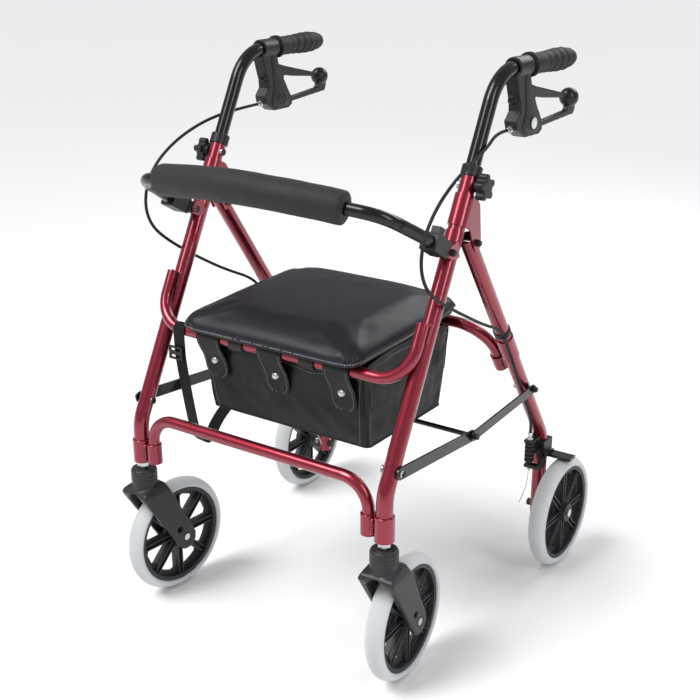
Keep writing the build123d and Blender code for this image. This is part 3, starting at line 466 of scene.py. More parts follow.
def subdivided(obj):
    mod = obj.modifiers.new("smooth", "SUBSURF")
    mod.levels = mod.render_levels = 1
    return applied(obj)


def remeshed(obj, size):
    mod = obj.modifiers.new("remesh", "REMESH")
    mod.mode = "VOXEL"
    mod.voxel_size = size
    mod.use_smooth_shade = True
    return applied(obj)


def relax(obj, times):
    """Evens out the small lumps of a mesh."""
    work = bmesh.new()
    work.from_mesh(obj.data)
    for _ in range(times):
        bmesh.ops.smooth_vert(work, verts=work.verts, factor=0.5, use_axis_x=True, use_axis_y=True,
                              use_axis_z=True)
    work.to_mesh(obj.data)
    work.free()


def lathe(name, profile, centre, axis, material, around=32, hollow=False):
    """A turned piece: profile is (along, radius) from its foot. A hollow one is a closed ring."""
    turn = axis.to_track_quat("Z", "Y").to_matrix()
    verts = []
    for along, radius in profile:
        for k in range(around):
            a = 2 * math.pi * k / around
            verts.append(centre + turn @ Vector((radius * math.cos(a), radius * math.sin(a), along)))
    faces = ring_faces(len(profile), around, hollow)
    if not hollow:
        faces += end_faces(len(verts), around)
    return add(name, verts, faces, material)


def rounded(points):
    """Cuts the corners of a closed outline twice, until it reads as a curve."""
    for _ in range(2):
        cut = []
        for a, b in zip(points, points[1:] + points[:1]):
            cut += [a.lerp(b, 0.25), a.lerp(b, 0.75)]
        points = cut
    return points


def plate(name, outline, base, top, place, material):
    """A thin moulded panel with a rounded rim. place(p, height) puts an outline point in space."""
    area = sum(a.cross(b) for a, b in zip(outline, outline[1:] + outline[:1]))
    inward = []
    for before, after in zip(outline[-1:] + outline[:-1], outline[1:] + outline[:1]):
        run = (after - before).normalized()
        inward.append(Vector((-run.y, run.x)) * (1 if area > 0 else -1))
    verts = []
    for height, inset in ((base, 0), (top - 0.0007, 0), (top - 0.0002, 0.0003), (top, 0.0009)):
        verts += [place(p + n * inset, height) for p, n in zip(outline, inward)]
    count = len(outline)
    return add(name, verts, ring_faces(4, count) + end_faces(4 * count, count), material)


# ---- brake cables --------------------------------------------------------------------
CABLE_R, WIRE_R = 0.0025, 0.0008
WIRE_HANG = [(0, 0, 0), (0, 0, 0.022), (0.004, 0.001, 0.05), (0.017, 0.004, 0.083)]
WIRE_STOP = [(0, 0.002), (0.0004, 0.0032), (0.006, 0.0032), (0.0064, 0.002)]
# the route of the CAD cable in mm: out of the housing, the loop in front, and down the rear leg
LEAD = [(239.5, 40.6, 803.5), (238.1, 11.0, 803.5)]
LOOPS = {
    "left": [(255, -48, 793), (261, -104, 780), (264, -160, 762), (266, -208, 736), (267, -240, 702),
             (267, -248, 664), (266, -232, 630), (264, -198, 604), (261, -147, 576), (258, -92, 548),
             (255, -38, 521)],
    "right": [(255, -46, 795), (261, -98, 782), (264, -146, 763), (266, -186, 737), (267, -210, 704),
              (267, -216, 668), (266, -204, 636), (264, -176, 610), (261, -134, 581), (258, -88, 553),
              (255, -38, 525)],
}
DOWN = [(249.5, 31.2, 492.8), (249.5, 58.8, 453.5), (247, 120, 360), (246, 153, 312), (242, 170, 290),
        (238, 181.5, 274), (236, 186, 256.9)]


def smooth_line(name, points):
    """Even points along the NURBS spline of a route."""
    curve = bpy.data.curves.new(name, "CURVE")
    curve.dimensions = "3D"
    spline = curve.splines.new("NURBS")
    spline.points.add(len(points) - 1)
    for target, p in zip(spline.points, points):
        target.co = (*p, 1)
    spline.order_u = 3
    spline.use_endpoint_u = True
    spline.resolution_u = 10
    obj = linked(name, curve)
    bpy.context.view_layer.update()
    mesh = bpy.data.meshes.new_from_object(obj)
    line = [v.co.copy() for v in mesh.vertices]
    bpy.data.objects.remove(obj)
    return line


for side, sign in SIDES.items():
    route = [Vector((sign * x, y, z)) / 1000 for x, y, z in LEAD + LOOPS[side] + DOWN]
    line = smooth_line(f"route_{side}", route)
    split = min(range(len(line)), key=lambda i: line[i].y)
    upper = tube(f"cable_upper_{side}", line[:split + 1], CABLE_R, CABLE)
    lower = tube(f"cable_lower_{side}", line[split:], CABLE_R, CABLE)
    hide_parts(f"brake_cable_{side}")
    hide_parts(f"brake_cable_{side}")
    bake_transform(upper)
    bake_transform(lower)
    # the bare inner wire that hangs below the brake arm
    wire_top = Vector((sign * 0.236, 0.186, 0.196))
    hang = [Vector((-sign * x, y, -z)) for x, y, z in WIRE_HANG]
    wire = smooth_line(f"wire_{side}", [wire_top + step for step in hang])
    tail = tube(f"cable_tail_{side}", wire, WIRE_R, ZINC, 8)
    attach(tail, f"brake_{side}")
    pinch = lathe(f"cable_stop_{side}", WIRE_STOP, wire_top - UP * 0.0125, UP, ZINC, 24)
    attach(pinch, f"brake_{side}")


# ---- stitches ------------------------------------------------------------------------
THREAD_SIDES, SPOT_STEP, SHORTEST_STITCH = 6, 0.0005, 0.0008


def dashes(line, pitch, share, radius):
    """Short stitches at even steps along a closed line of points."""
    parts, places = [], [0.0]
    for a, b in zip(line, line[1:] + line[:1]):
        places.append(places[-1] + (b - a).length)
    number = int(places[-1] / pitch)

    def at(distance):
        distance %= places[-1]
        i = int(np.searchsorted(places, distance, side="right")) - 1
        a, b = line[i % len(line)], line[(i + 1) % len(line)]
        return a.lerp(b, (distance - places[i]) / max((b - a).length, 1e-9))

    for k in range(number):
        begin = k * places[-1] / number
        spots = [at(begin + pitch * share * f) for f in (0, 0.2, 0.5, 0.8, 1.0)]
        if (spots[-1] - spots[0]).length > pitch * share * 0.5:
            radii = [radius * f for f in (0.5, 1, 1.1, 1, 0.5)]
            parts.append(tube_mesh(spots, radii, THREAD_SIDES))
    return merged(parts)


def open_dashes(line, pitch, share, radius):
    """Short stitches along a line that doesn't close."""
    spots, parts = [line[0]], []
    for a, b in zip(line, line[1:]):
        n = max(1, int((b - a).length / SPOT_STEP))
        spots += [a.lerp(b, (k + 1) / n) for k in range(n)]
    step = max(2, int(pitch / SPOT_STEP))
    run = max(2, int(step * share))
    for i in range(0, len(spots) - run, step):
        piece = spots[i:i + run + 1]
        if (piece[-1] - piece[0]).length > SHORTEST_STITCH:
            ends = [piece[0], piece[len(piece) // 2], piece[-1]]
            parts.append(tube_mesh(ends, [radius * 0.6, radius, radius * 0.6], THREAD_SIDES))
    return merged(parts)


# ---- seat cushion --------------------------------------------------------------------
TILT = math.radians(1.63)
SEAT_MID = Vector((0, -0.1045, 0.5075))
SEAT_V = Vector((0, math.cos(TILT), math.sin(TILT)))
SEAT_W = Vector((0, -math.sin(TILT), math.cos(TILT)))
HALF_X, HALF_V = 0.168, 0.1585


def rounded_rectangle(half_x, half_y, corner, per_corner=12, per_side=22):
    """A closed outline with arcs at its corners and even points along its sides."""
    def on_arc(quarter, degrees):
        a = math.radians(degrees)
        cx = (half_x - corner) * (1 if quarter % 4 in (0, 3) else -1)
        cy = (half_y - corner) * (1 if quarter % 4 in (0, 1) else -1)
        return Vector((cx + corner * math.cos(a), cy + corner * math.sin(a)))

    points = []
    for quarter in range(4):
        points += [on_arc(quarter, 90 * quarter + 90 * k / (per_corner - 1)) for k in range(per_corner)]
        start, end = points[-1], on_arc(quarter + 1, 90 * (quarter + 1))
        points += [start.lerp(end, k / per_side) for k in range(1, per_side)]
    return points


def seat_point(u, v, w):
    """u across the seat, v towards its rear and w above its board."""
    return SEAT_MID + Vector((u, 0, 0)) + SEAT_V * v + SEAT_W * w


SIM_FRAMES = 20


def inflate(obj, pinned, pressure, cap):
    """Swells a closed mesh like a stuffed cover, with its pinned points held and its travel capped."""
    rest = np.array([v.co for v in obj.data.vertices])
    group = obj.vertex_groups.new(name="held")
    group.add([i for i, p in enumerate(rest) if pinned(p)], 1.0, "REPLACE")
    mod = obj.modifiers.new("cloth", "CLOTH")
    mod.settings.quality = 5
    mod.settings.mass = 0.35
    mod.settings.tension_stiffness = mod.settings.compression_stiffness = 18
    mod.settings.bending_stiffness = 0.6
    mod.settings.use_pressure = True
    mod.settings.uniform_pressure_force = pressure
    mod.settings.effector_weights.gravity = 0
    mod.settings.vertex_group_mass = "held"
    mod.collision_settings.use_collision = False
    mod.point_cache.frame_start, mod.point_cache.frame_end = 1, SIM_FRAMES
    scene = bpy.context.scene
    for number in range(1, SIM_FRAMES + 1):
        scene.frame_set(number)
    graph = bpy.context.evaluated_depsgraph_get()
    mesh = bpy.data.meshes.new_from_object(obj.evaluated_get(graph))
    moved = np.array([v.co for v in mesh.vertices])
    travel = moved - rest
    length = np.linalg.norm(travel, axis=1)
    travel *= (np.minimum(length, cap) / np.maximum(length, 1e-9))[:, None]
    mesh.vertices.foreach_set("co", (rest + travel).astype(np.float32).ravel())
    obj.modifiers.clear()
    obj.vertex_groups.clear()
    obj.data = mesh
    scene.frame_set(1)
    return obj


SKIRT = 0.0076
PAD_VOXEL, PAD_PRESSURE, PAD_SWELL, PAD_HELD = 0.0040, 4.0, 0.005, 0.0035
# height over the seat board, inset from its outline and corner radius, from the skirt up
PAD_LEVELS = [(0.0005, 0.0095, 0.020), (-SKIRT + 0.0006, 0.0082, 0.021), (-SKIRT, 0.0040, 0.024),
              (-SKIRT + 0.003, 0.0012, 0.026), (0.0, 0.0, 0.028), (0.009, 0.0008, 0.029),
              (0.017, 0.0045, 0.032), (0.0235, 0.014, 0.037), (0.0285, 0.030, 0.045),
              (0.0318, 0.052, 0.054), (0.0334, 0.084, 0.064)]


def skirt_share(v):
    """The skirt fades out towards the seat's rear edge."""
    return min(1.0, max(0.0, (0.135 - v) / 0.05))


def seat_cushion():
    """The stuffed vinyl pad, whose edge turns down over the front and sides of its board."""
    verts = []
    for height, inset, corner in PAD_LEVELS:
        for p in rounded_rectangle(HALF_X - inset, HALF_V - inset, corner):
            verts.append(seat_point(p.x, p.y, height * (skirt_share(p.y) if height < 0 else 1.0)))
    count = len(verts) // len(PAD_LEVELS)
    faces = ring_faces(len(PAD_LEVELS), count) + end_faces(len(verts), count)
    obj = add("seat_pad", verts, faces, VINYL)
    remeshed(obj, PAD_VOXEL)
    inflate(obj, lambda p: (Vector(p) - SEAT_MID).dot(SEAT_W) < PAD_HELD, PAD_PRESSURE, PAD_SWELL)
    relax(obj, 9)
    subdivided(obj)
    # gathers where the vinyl is drawn round each corner
    corner_u, corner_v = HALF_X - 0.030, HALF_V - 0.030
    for v in obj.data.vertices:
        local = v.co - SEAT_MID
        u, along, up = local.x, local.dot(SEAT_V), local.dot(SEAT_W)
        du, dv = abs(u) - corner_u, abs(along) - corner_v
        if du > 0 and dv > 0:
            angle = math.atan2(dv, du)
            near = math.exp(-((up + 0.001) / 0.0075) ** 2) * min(1, math.hypot(du, dv) / 0.022)
            fold = abs(math.sin(angle * 7)) ** 0.6 * math.sin(angle * 2) ** 0.5
            out = Vector((math.copysign(du, u), 0, 0)) + SEAT_V * math.copysign(dv, along)
            v.co += out.normalized() * near * (0.0036 * fold - 0.0026)
    obj.data.update()
    return obj


pad = seat_cushion()
surface = BVHTree.FromPolygons([v.co.copy() for v in pad.data.vertices],
                               [tuple(p.vertices) for p in pad.data.polygons])


def on_pad(p, height, lift):
    """The pad's side surface level with a point outside it, pushed out by lift."""
    start = seat_point(p.x * 1.3, p.y * 1.3, height)
    inward = (seat_point(0, 0, height) - start).normalized()
    hit = surface.ray_cast(start, inward)
    place = hit[0] if hit[0] else seat_point(p.x, p.y, height)
    return place - inward * lift


edge_line = rounded_rectangle(HALF_X, HALF_V, 0.028, 16, 90)


stitch_line = [on_pad(p, 0.0015 - 0.0022 * skirt_share(p.y), 0.0003) for p in edge_line]
stitches = add("seat_stitching", *dashes(stitch_line, 0.0042, 0.5, 0.00055), THREAD)
for piece in (pad, stitches):
    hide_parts("seat_cushion")
    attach(piece, "seat")

# ---- backrest foam -------------------------------------------------------------------
EAR = Vector((0, -0.1408, 0.6575))
ALONG = Vector((0, -math.cos(REST_TILT), math.sin(REST_TILT)))
ABOVE = Vector((0, math.sin(REST_TILT), math.cos(REST_TILT)))


HOOP_REACH, HOOP_DROP, HOOP_HALF, HOOP_BEND_R = 0.195, 0.049, 0.221, 0.5
FOAM_HALF, FOAM_R = 0.166, 0.0250
FOAM_ENDS = [(0, 0.0098), (0, 0.0185), (0.0006, 0.0225), (0.0022, 0.0244)]


def hoop_point(x):
    """The hoop's axis at x, an arc in the middle between two straight runs."""
    flat = math.atan2(HOOP_DROP, HOOP_HALF)
    if abs(x) < HOOP_BEND_R * math.sin(flat):
        v = HOOP_REACH - HOOP_BEND_R / math.cos(flat) + math.sqrt(HOOP_BEND_R ** 2 - x * x)
    else:
        v = HOOP_REACH - abs(x) * HOOP_DROP / HOOP_HALF
    return Vector((x, EAR.y, EAR.z)) + ALONG * v


def backrest_foam():
    """A foam sleeve, slightly uneven, whose end rings go in to the hoop's tube."""
    verts, around = [], 56
    stations = [(-FOAM_HALF + x, r) for x, r in FOAM_ENDS]
    stations += [(-FOAM_HALF + 0.005 + (2 * FOAM_HALF - 0.01) * k / 90, FOAM_R) for k in range(91)]
    stations += [(-x, r) for x, r in reversed(stations[:4])]
    for x, r in stations:
        middle = hoop_point(x)
        ahead = (hoop_point(x + 0.002) - hoop_point(x - 0.002)).normalized()
        other = ahead.cross(ABOVE).normalized()
        for k in range(around):
            a = 2 * math.pi * k / around
            p = middle + ABOVE * (r * math.cos(a)) + other * (r * math.sin(a))
            if r > 0.02:
                lump = noise.noise(p * 22) * 0.0009 + noise.noise(p * 90) * 0.00025
                p += (p - middle).normalized() * (lump - 0.0006)
            verts.append(p)
    return add("backrest_foam", verts, ring_faces(len(stations), around), FOAM)


foam_pad = backrest_foam()
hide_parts("backrest_pad")
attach(foam_pad, "backrest")

# ---- bag -----------------------------------------------------------------------------
BAG_HALF, BAG_LOW, BAG_TOP, BAG_CORNER = 0.154, 0.350, 0.476, 0.009
BAG_MID_Y, BAG_FLOOR_Y = -0.09, -0.093
BELLY, RIM_SAG, END_RISE, FLOOR_SAG, CLOTH_T = 0.0055, 0.006, 0.0165, 0.0010, 0.0018
CREASE, FINE_CREASE, SLANT_CREASE = 0.0038, 0.0008, 0.0015
FLAPS = (-0.124, -0.002, 0.122)
SEAM_STITCH = (0.0042, 0.6, 0.00035)
FLAP_STITCH = (0.004, 0.6, 0.00035)


def bag_face(u, t):
    """A flat wall's (x, y), outward normal and reach into a corner: u runs round from the middle of
    the front, and t goes from floor to rim."""
    front = -0.1995 - 0.0185 * t ** 0.8
    rear = 0.013 + 0.025 * t
    half = BAG_HALF - 0.001
    width, depth = 2 * half, rear - front
    d = (u % 1.0) * (2 * (width + depth))
    for length, part in ((half, 0), (depth, 1), (width, 2), (depth, 3), (half, 4)):
        if d <= length:
            break
        d -= length
    if part in (0, 4):
        x, y, out = (d if part == 0 else d - half), front, Vector((0, -1, 0))
    elif part == 1:
        x, y, out = half, front + d, Vector((1, 0, 0))
    elif part == 2:
        x, y, out = half - d, rear, Vector((0, 1, 0))
    else:
        x, y, out = -half, rear - d, Vector((-1, 0, 0))
    # round the upright corners
    middle = (front + rear) / 2
    flat_x, flat_y = half - BAG_CORNER, depth / 2 - BAG_CORNER
    ex, ey = abs(x) - flat_x, abs(y - middle) - flat_y
    if ex > 0 and ey > 0:
        scale = BAG_CORNER / max(math.hypot(ex, ey), 1e-9)
        if scale < 1:
            x = math.copysign(flat_x + ex * scale, x)
            y = middle + math.copysign(flat_y + ey * scale, y - middle)
    return Vector((x, y, 0)), out, ex, ey


def bag_shell():
    """The bag's slack, creased walls and sagging floor, and the rings of points of its walls."""
    around, rows, rings = 360, 46, 12
    verts = []
    for r in range(rows + 1):
        t = r / rows
        for k in range(around):
            p, out, ex, ey = bag_face(k / around, t)
            z = BAG_LOW + (BAG_TOP - BAG_LOW) * t
            on_long = abs(out.y) > 0.5
            span = p.x / BAG_HALF if on_long else (p.y - BAG_MID_Y) / 0.125
            belly = max(0.0, 1 - span * span) * math.sin(math.pi * min(1, t * 0.92 + 0.02))
            p += out * (BELLY * belly)
            if out.y < -0.5:
                # the front rim hangs in shallow curves between its flaps
                gap = min(abs(p.x - f) for f in FLAPS)
                z -= RIM_SAG * t ** 3 * min(1, max(0, gap - 0.02) / 0.04)
            if not on_long:
                z += END_RISE * t ** 4 * max(0.0, 1 - span ** 4)
            q = Vector((p.x, p.y, z))
            crease = noise.noise(Vector((q.x * 16, q.y * 16, q.z * 26 + 5)))
            fine = noise.noise(Vector((q.x * 60, q.y * 60, q.z * 34 + 9)))
            slant = noise.noise(Vector(((q.x + q.z) * 38, q.y * 30, (q.z - q.x) * 9 + 3)))
            fade = min(1.0, 6 * t) * (0.25 if ex > -0.004 and ey > -0.004 else 1.0)
            q += out * fade * (CREASE * crease + FINE_CREASE * fine + SLANT_CREASE * slant)
            verts.append(q)
    faces = ring_faces(rows + 1, around)
    start = len(verts)
    for r in range(1, rings):
        f = 1 - r / rings
        for foot in verts[:around]:
            y = BAG_FLOOR_Y + (foot.y - BAG_FLOOR_Y) * f
            verts.append(Vector((foot.x * f, y, BAG_LOW - FLOOR_SAG * (1 - f * f))))
    previous = list(range(around))
    for r in range(rings - 1):
        current = [start + r * around + k for k in range(around)]
        for k in range(around):
            n = (k + 1) % around
            faces.append((previous[n], previous[k], current[k], current[n]))
        previous = current
    faces.append(tuple(previous[::-1]))
    obj = add("bag_body", verts, faces, LEATHER)
    mod = obj.modifiers.new("cloth", "SOLIDIFY")
    mod.thickness, mod.offset = CLOTH_T, -1
    applied(obj)
    obj.data.set_sharp_from_angle(angle=math.radians(50))
    return obj, [verts[r * around:(r + 1) * around] for r in range(rows + 1)]


bag, bag_wall = bag_shell()
bag_foot, bag_rim = bag_wall[0], bag_wall[-1]
piping = [("bag_piping_floor", [p + UP * 0.0006 for p in bag_foot + bag_foot[:1]], 0.0017),
          ("bag_hem", [p - UP * 0.0008 for p in bag_rim + bag_rim[:1]], 0.0019)]
bag_trim = [tube(name, line, radius, LEATHER, 8, False) for name, line, radius in piping]
hem_line = []
for p in bag_rim:
    outward = Vector((p.x, p.y - BAG_MID_Y, 0)).normalized()
    hem_line.append(p - UP * 0.011 + outward * 0.0007)
bag_trim.append(add("bag_hem_stitching", *dashes(hem_line, *SEAM_STITCH), THREAD))


def bag_column(x, y, out):
    """An upright line on the bag's wall, nearest to (x, y) at its mid height."""
    row = bag_wall[len(bag_wall) // 2]
    k = min(range(len(row)), key=lambda i: (row[i].x - x) ** 2 + (row[i].y - y) ** 2)
    return [ring[k] + Vector(out) for ring in bag_wall[1:-1]]


for side, sign in SIDES.items():
    for number, (x, y, out) in enumerate(((sign * BAG_HALF, -0.199, (sign * 0.0005, 0, 0)),
                                          (sign * 0.144, -0.212, (0, -0.0005, 0)),
                                          (sign * BAG_HALF, 0.015, (sign * 0.0005, 0, 0)))):
        seam = open_dashes(bag_column(x, y, out), *SEAM_STITCH)
        bag_trim.append(add(f"bag_seam_{side}_{number}", *seam, THREAD))
    for number, y in enumerate((-0.2085, 0.0235)):
        line = bag_column(sign * 0.1525, y, (sign * 0.0003, 0, 0))
        bag_trim.append(tube(f"bag_piping_{side}_{number}", line, 0.0015, LEATHER, 8))
for piece in (bag, *bag_trim):
    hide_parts("storage_bag")
    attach(piece, "frame")
    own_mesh(piece)


def length_left(points):
    """How far each point of a line is from its end."""
    total, gone, left = sum((b - a).length for a, b in zip(points, points[1:])), 0.0, []
    for i, p in enumerate(points):
        if i:
            gone += (p - points[i - 1]).length
        left.append(total - gone)
    return left


def band(points, width, thickness, tip=0):
    """A flat strap along a line in a side plane; its last end can be rounded over a length tip."""
    verts, across = [], 10
    steps = [2 * k / across - 1 for k in range(across + 1)]
    for (p, side, normal), left in zip(frames_along(points), length_left(points)):
        half = width / 2
        if tip and left < tip:
            half *= math.sqrt(max(0.0, 1 - (1 - left / tip) ** 2)) * 0.98 + 0.02
        for face, fs in ((1, steps), (-1, steps[::-1])):
            for f in fs:
                rise = thickness / 2 * (1 - 0.55 * f ** 8)
                verts.append(p + side * (half * f) + normal * (face * rise))
    count = 2 * (across + 1)
    return verts, ring_faces(len(points), count) + end_faces(len(verts), count)


FLAP_W, FLAP_T, FLAP_TIP, FLAP_BEND = 0.046, 0.0026, 0.022, 0.0115


def flap_line(x, tube_at, front=True):
    """The side view of a flap: up behind the tube, over it and down the bag."""
    r, sense = FLAP_BEND, (-1 if front else 1)
    points = [Vector((x, tube_at.y - sense * (r + 0.002), tube_at.z - 0.020)),
              Vector((x, tube_at.y - sense * r, tube_at.z - 0.008))]
    for k in range(13):
        a = math.pi * k / 12
        points.append(Vector((x, tube_at.y - sense * r * math.cos(a), tube_at.z + r * math.sin(a))))
    if front:
        down = [(-0.2395, 0.472), (-0.2340, 0.4615), (-0.2282, 0.452), (-0.2240, 0.443),
                (-0.2215, 0.434), (-0.2196, 0.425), (-0.2180, 0.417), (-0.2166, 0.410),
                (-0.2160, 0.4065)]
    else:
        down = [(0.0690, 0.470), (0.0640, 0.460), (0.0585, 0.452), (0.0530, 0.444), (0.0495, 0.436),
                (0.0470, 0.428), (0.0455, 0.421), (0.0450, 0.417)]
    points += [Vector((x, y, z)) for y, z in down]
    smooth = []
    for a, b in zip(points, points[1:]):
        smooth += [a, a.lerp(b, 0.5)]
    return smooth + [points[-1]]


def flap_outline(line, inset, lift):
    """A stitch line just inside a flap's edge, on its outer face."""
    first, second = [], []
    start = int(len(line) * 0.60)
    rows = list(zip(frames_along(line), length_left(line)))
    for (p, side, normal), left in rows[start:]:
        if left < inset:
            continue
        half = FLAP_W / 2 - inset
        if left < FLAP_TIP:
            reach = (FLAP_TIP - left) / (FLAP_TIP - inset)
            half *= math.sqrt(max(0.0, 1 - reach ** 2))
        first.append(p + side * half + normal * lift)
        second.append(p - side * half + normal * lift)
    return first + second[::-1]


SNAP = [(-0.001, 0.0066), (0.0007, 0.0066), (0.0012, 0.0058), (0.0011, 0.0052), (0.0021, 0.0049),
        (0.0029, 0.0036), (0.0033, 0.0018), (0.0034, 0.0002)]
for number, x in enumerate(FLAPS):
    line = flap_line(x, SEAT_TUBE)
    flap = add(f"bag_flap_{number}", *band(line, FLAP_W, FLAP_T, FLAP_TIP), LEATHER)
    outer = -1 if frames_along(line)[-4][2].y > 0 else 1
    seam = flap_outline(line, 0.0042, outer * 0.0015)
    thread_line = add(f"bag_flap_stitching_{number}", *open_dashes(seam, *FLAP_STITCH), THREAD)
    facing = Vector((0, -0.93, 0.36)).normalized()
    snap = lathe(f"bag_snap_{number}", SNAP, Vector((x, -0.2252, 0.443)), facing, ZINC)
    for piece in (flap, thread_line, snap):
        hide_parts("storage_bag")
        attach(piece, "frame")

for number, x in enumerate((-0.110, 0.110)):
    line = flap_line(x, REAR_TUBE, front=False)
    flap = add(f"bag_rear_flap_{number}", *band(line, FLAP_W, FLAP_T, FLAP_TIP), LEATHER)
    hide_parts("storage_bag")
    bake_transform(flap)

# ---- folding strap -------------------------------------------------------------------
STRAP_W, STRAP_T, STRAP_X, STRAP_LOOP_R = 0.023, 0.0016, -0.184, 0.0112
STRAP = [(-184, -241.8, 483), (-184, -241.0, 462), (-185, -239.5, 440), (-187, -232, 405),
         (-190, -221, 360), (-193, -209, 312), (-197, -196, 280), (-199, -180, 263), (-199, -163, 267),
         (-197, -140, 296), (-190, -110, 320), (-181, -84, 337), (-176, -70, 344)]
strap_line = smooth_line("strap_route", [Vector(p) / 1000 for p in STRAP])
strap = add("fold_strap", *band(strap_line, STRAP_W, STRAP_T), WEBBING)
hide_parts("lock_strap")
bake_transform(strap)
loop_line = []
for k in range(25):
    a = math.radians(200 - 250 * k / 24)
    arc = Vector((STRAP_X, STRAP_LOOP_R * math.cos(a), STRAP_LOOP_R * math.sin(a)))
    loop_line.append(SEAT_TUBE + arc)
strap_loop = add("fold_strap_loop", *band(loop_line, STRAP_W, STRAP_T), WEBBING)
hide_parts("lock_strap")
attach(strap_loop, "frame")

# ---- badge and raised panels of the brake housings -----------------------------------
TOE = math.radians(2.7)
CORNER = Vector((LEG_X, 0.00896, 0.895))


def grip_point(sign, t, x=0.0, z=0.0):
    """t along the grip from the handle's bend, x outwards and z up."""
    along = Vector((sign * math.sin(TOE), math.cos(TOE), 0))
    out = Vector((sign * math.cos(TOE), -math.sin(TOE), 0))
    return Vector((sign * CORNER.x, CORNER.y, CORNER.z)) + along * t + out * x + Vector((0, 0, z))


GRIP_PROFILE = ((0.088, 0.0190), (0.093, 0.0190), (0.096, 0.0156), (0.136, 0.0164), (0.170, 0.0182),
                (0.192, 0.0180), (0.212, 0.0152), (0.222, 0.0122), (0.2255, 0.0085), (0.226, 0.0030))
PANEL = [(60, -13), (73, -13), (79, -32), (94, -60), (110, -84), (112, -96), (106, -102), (70, -102),
         (60, -95), (59, -84), (66, -73), (67, -58), (63, -34)]
PIVOT_T, PIVOT_DZ, BALL_R = 0.091, -0.087, 0.0156
PANEL_BASE, PANEL_TOP, PIVOT_FACE = 0.0098, 0.0121, 0.0118
WAVE_START, WAVE_PITCH, WAVE_DEPTH = 0.112, 0.0185, 0.0011
BADGE_RIM = [(0, 0.0090), (0, 0.0104), (0.0012, 0.0101), (0.0020, 0.0094), (0.0018, 0.0088)]
BADGE_FACE = [(0.0008, 0.0090), (0.0017, 0.0088), (0.0023, 0.0070), (0.0026, 0.0040), (0.0027, 0.0004)]
PIVOT_RIM = [(0, 0.0088), (0, 0.0108), (0.0009, 0.0104), (0.0011, 0.0098), (0.0008, 0.0090)]
BARREL = [(0, 0.0031), (0.0062, 0.0031), (0.0064, 0.0046), (0.0069, 0.0049), (0.0110, 0.0049),
          (0.0116, 0.0046), (0.0118, 0.0031), (0.0172, 0.0031), (0.0176, 0.0027)]
FORK_RING = [(0, 0.0202), (0.0002, 0.0213), (0.0010, 0.0217), (0.0038, 0.0217), (0.0046, 0.0213),
             (0.0048, 0.0202)]


def ball_outline():
    """Half a circle with the mould's parting line as a groove in its middle."""
    steps, points = 30, []
    for k in range(1, steps):
        a = math.pi * (k / steps - 0.5)
        groove = 0.0003 if k == steps // 2 else 0
        points.append((BALL_R * math.sin(a), (BALL_R - groove) * math.cos(a)))
    return points


def hand_grip(side, sign):
    """A rubber grip with finger waves, which wind round it on the right."""
    verts, around, stations = [], 48, 150
    ts, rs = zip(*GRIP_PROFILE)
    first, rim, last = ts[0], ts[2], ts[-1]
    places = [first, first + 0.0006, 0.0924, 0.093, 0.0932]
    places += [rim + (last - rim) * k / stations for k in range(stations + 1)]
    for t in places:
        radius = float(np.interp(t, ts, rs))
        shape = min(1.0, max(0.0, (t - WAVE_START) / 0.02)) * min(1.0, max(0.0, (0.214 - t) / 0.012))
        for k in range(around):
            a = 2 * math.pi * k / around
            wind = 0.0 if sign > 0 else a
            wave = math.sin((t - WAVE_START) * 2 * math.pi / WAVE_PITCH + wind)
            under = 0.62 - 0.38 * math.sin(a)
            r = radius - shape * under * WAVE_DEPTH * (1 - wave) ** 1.5
            verts.append(grip_point(sign, t, r * math.cos(a), r * math.sin(a)))
    faces = ring_faces(len(places), around) + end_faces(len(verts), around)
    return add(f"ribbed_grip_{side}", verts, faces, GRIP)


for side, sign in SIDES.items():
    handle = f"handle_{side}"
    grip = hand_grip(side, sign)
    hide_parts(f"hand_grip_{side}")
    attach(grip, handle)
    outward = (grip_point(sign, 0, 1) - grip_point(sign, 0)).normalized()
    panel_line = rounded([Vector(p) / 1000 for p in PANEL])
    pieces = []
    for face in (1, -1):
        name = f"housing_panel_{side}_{'out' if face > 0 else 'in'}"
        pieces.append(plate(name, panel_line, PANEL_BASE, PANEL_TOP,
                            lambda p, h: grip_point(sign, p.x, face * h, p.y), PLASTIC))
    pivot = grip_point(sign, PIVOT_T, PIVOT_FACE, PIVOT_DZ)
    pieces.append(lathe(f"badge_rim_{side}", BADGE_RIM, pivot, outward, PLASTIC, 48, True))
    badge = lathe(f"badge_{side}", BADGE_FACE, pivot, outward, BADGE, 48)
    inside = grip_point(sign, PIVOT_T - 0.002, -PIVOT_FACE, PIVOT_DZ)
    pieces.append(lathe(f"pivot_rim_{side}", PIVOT_RIM, inside, -outward, PLASTIC, 48, True))
    forward = (grip_point(sign, 0) - grip_point(sign, 1)).normalized()
    barrel = lathe(f"cable_barrel_{side}", BARREL, grip_point(sign, 0.0495, 0, -0.0915), forward, ZINC)
    for piece in (*pieces, badge, barrel):
        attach(piece, handle)
    ball_at = grip_point(sign, 0.226, 0, -0.064)
    ball = lathe(f"lever_ball_{side}", ball_outline(), ball_at, outward, SATIN, 40)
    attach(ball, f"lever_{side}")

# ---- caster heads and welds ----------------------------------------------------------
CASTER_Y = -0.285
RIPPLE_PITCH, RIPPLE_STEP = 0.0024, 0.0004
CUP_WELD_X, CUP_WELD_Z = 0.2229, (0.268, 0.2945)
TUBE_WELD_BACK, TUBE_WELD_S = -0.0137, (0.221, 0.251)
for side, sign in SIDES.items():
    for number, height in enumerate((0.2385, 0.2318, 0.2251)):
        foot = Vector((sign * LEG_X, CASTER_Y, height))
        ring = lathe(f"fork_ring_{side}_{number}", FORK_RING, foot, UP, FORK, 56, True)
        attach(ring, f"caster_{side}")


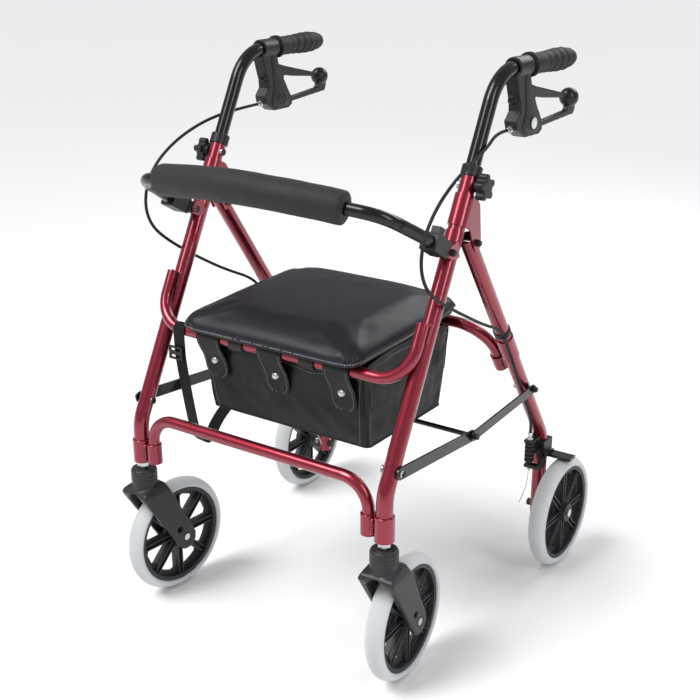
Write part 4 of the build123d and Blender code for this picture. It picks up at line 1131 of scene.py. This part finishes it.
def weld(name, start, end, radius):
    """A rippled bead of weld."""
    length = (end - start).length
    number = max(8, int(length / RIPPLE_STEP))
    points, radii = [], []
    for k in range(number + 1):
        f = k / number
        ripple = 0.86 + 0.14 * abs(math.sin(f * length / RIPPLE_PITCH * math.pi))
        points.append(start.lerp(end, f))
        radii.append(radius * ripple * min(1.0, 0.25 + 9 * f, 0.25 + 9 * (1 - f)))
    bead = tube(name, points, radii, RED, 14)
    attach(bead, "frame")


for side, sign in SIDES.items():
    for number, y in enumerate((-0.2942, -0.2758)):
        low, high = (Vector((sign * CUP_WELD_X, y, z)) for z in CUP_WELD_Z)
        weld(f"cup_weld_{side}_{number}", low, high, 0.0034)
    for number, x in enumerate((0.2294, 0.2466)):
        high, low = (down_leg(s, TUBE_WELD_BACK, sign * x) for s in TUBE_WELD_S)
        weld(f"seat_tube_weld_{side}_{number}", high, low, 0.0033)

# ---- stage ---------------------------------------------------------------------------
FLOOR = 45
floor_mesh = bpy.data.meshes.new("floor")
floor_corners = [(-FLOOR, -FLOOR, 0), (FLOOR, -FLOOR, 0), (FLOOR, FLOOR, 0), (-FLOOR, FLOOR, 0)]
floor_mesh.from_pydata(floor_corners, [], [(0, 1, 2, 3)])
floor = linked("floor", floor_mesh)
pale = bpy.data.materials.new("pale_floor")
pale.use_nodes = True
pale_inputs = pale.node_tree.nodes["Principled BSDF"].inputs
pale_inputs["Base Color"].default_value = (0.88, 0.88, 0.88, 1)
pale_inputs["Roughness"].default_value = 0.9
floor_mesh.materials.append(pale)

world = bpy.data.worlds.new("studio")
world.use_nodes = True
sky_inputs = world.node_tree.nodes["Background"].inputs
sky_inputs["Color"].default_value = (0.95, 0.96, 1.0, 1)
sky_inputs["Strength"].default_value = 0.42
bpy.context.scene.world = world


def light(name, kind, place, target, power, **settings):
    data = bpy.data.lights.new(name, kind)
    data.energy = power
    for key, value in settings.items():
        setattr(data, key, value)
    obj = linked(name, data)
    obj.location = place
    obj.rotation_mode = "QUATERNION"
    obj.rotation_quaternion = (Vector(target) - Vector(place)).to_track_quat("-Z", "Y")


light("daylight", "SUN", (-1.2, -1.6, 3.4), (0, 0, 0.3), 2.15, angle=math.radians(32))
light("key", "AREA", (-0.9, -2.2, 2.6), (0, 0, 0.5), 26, shape="RECTANGLE", size=0.9, size_y=1.5)
light("fill", "AREA", (2.4, -0.6, 2.0), (0, 0, 0.5), 22, shape="RECTANGLE", size=0.7, size_y=1.8)
light("back", "AREA", (0.4, 2.3, 2.2), (0, 0, 0.5), 24, shape="RECTANGLE", size=1.8, size_y=0.7)

# ---- camera --------------------------------------------------------------------------
AZIMUTH, ELEVATION, ROLL = math.radians(34.881), math.radians(19.609), math.radians(-0.161)
back = Vector((math.sin(AZIMUTH) * math.cos(ELEVATION), -math.cos(AZIMUTH) * math.cos(ELEVATION),
               math.sin(ELEVATION)))
camera_data = bpy.data.cameras.new("camera")
camera_data.sensor_width = 36
camera_data.lens = 60.836
camera_data.shift_x, camera_data.shift_y = 0.0058, -0.0137
camera = linked("camera", camera_data)
camera.location = (1.05526, -1.55261, 1.10247)
camera.rotation_mode = "QUATERNION"
turn = (-back).to_track_quat("-Z", "Y").to_matrix() @ Matrix.Rotation(ROLL, 3, "Z")
camera.rotation_quaternion = turn.to_quaternion()
bpy.context.scene.camera = camera
bpy.context.scene.view_settings.view_transform = "Standard"
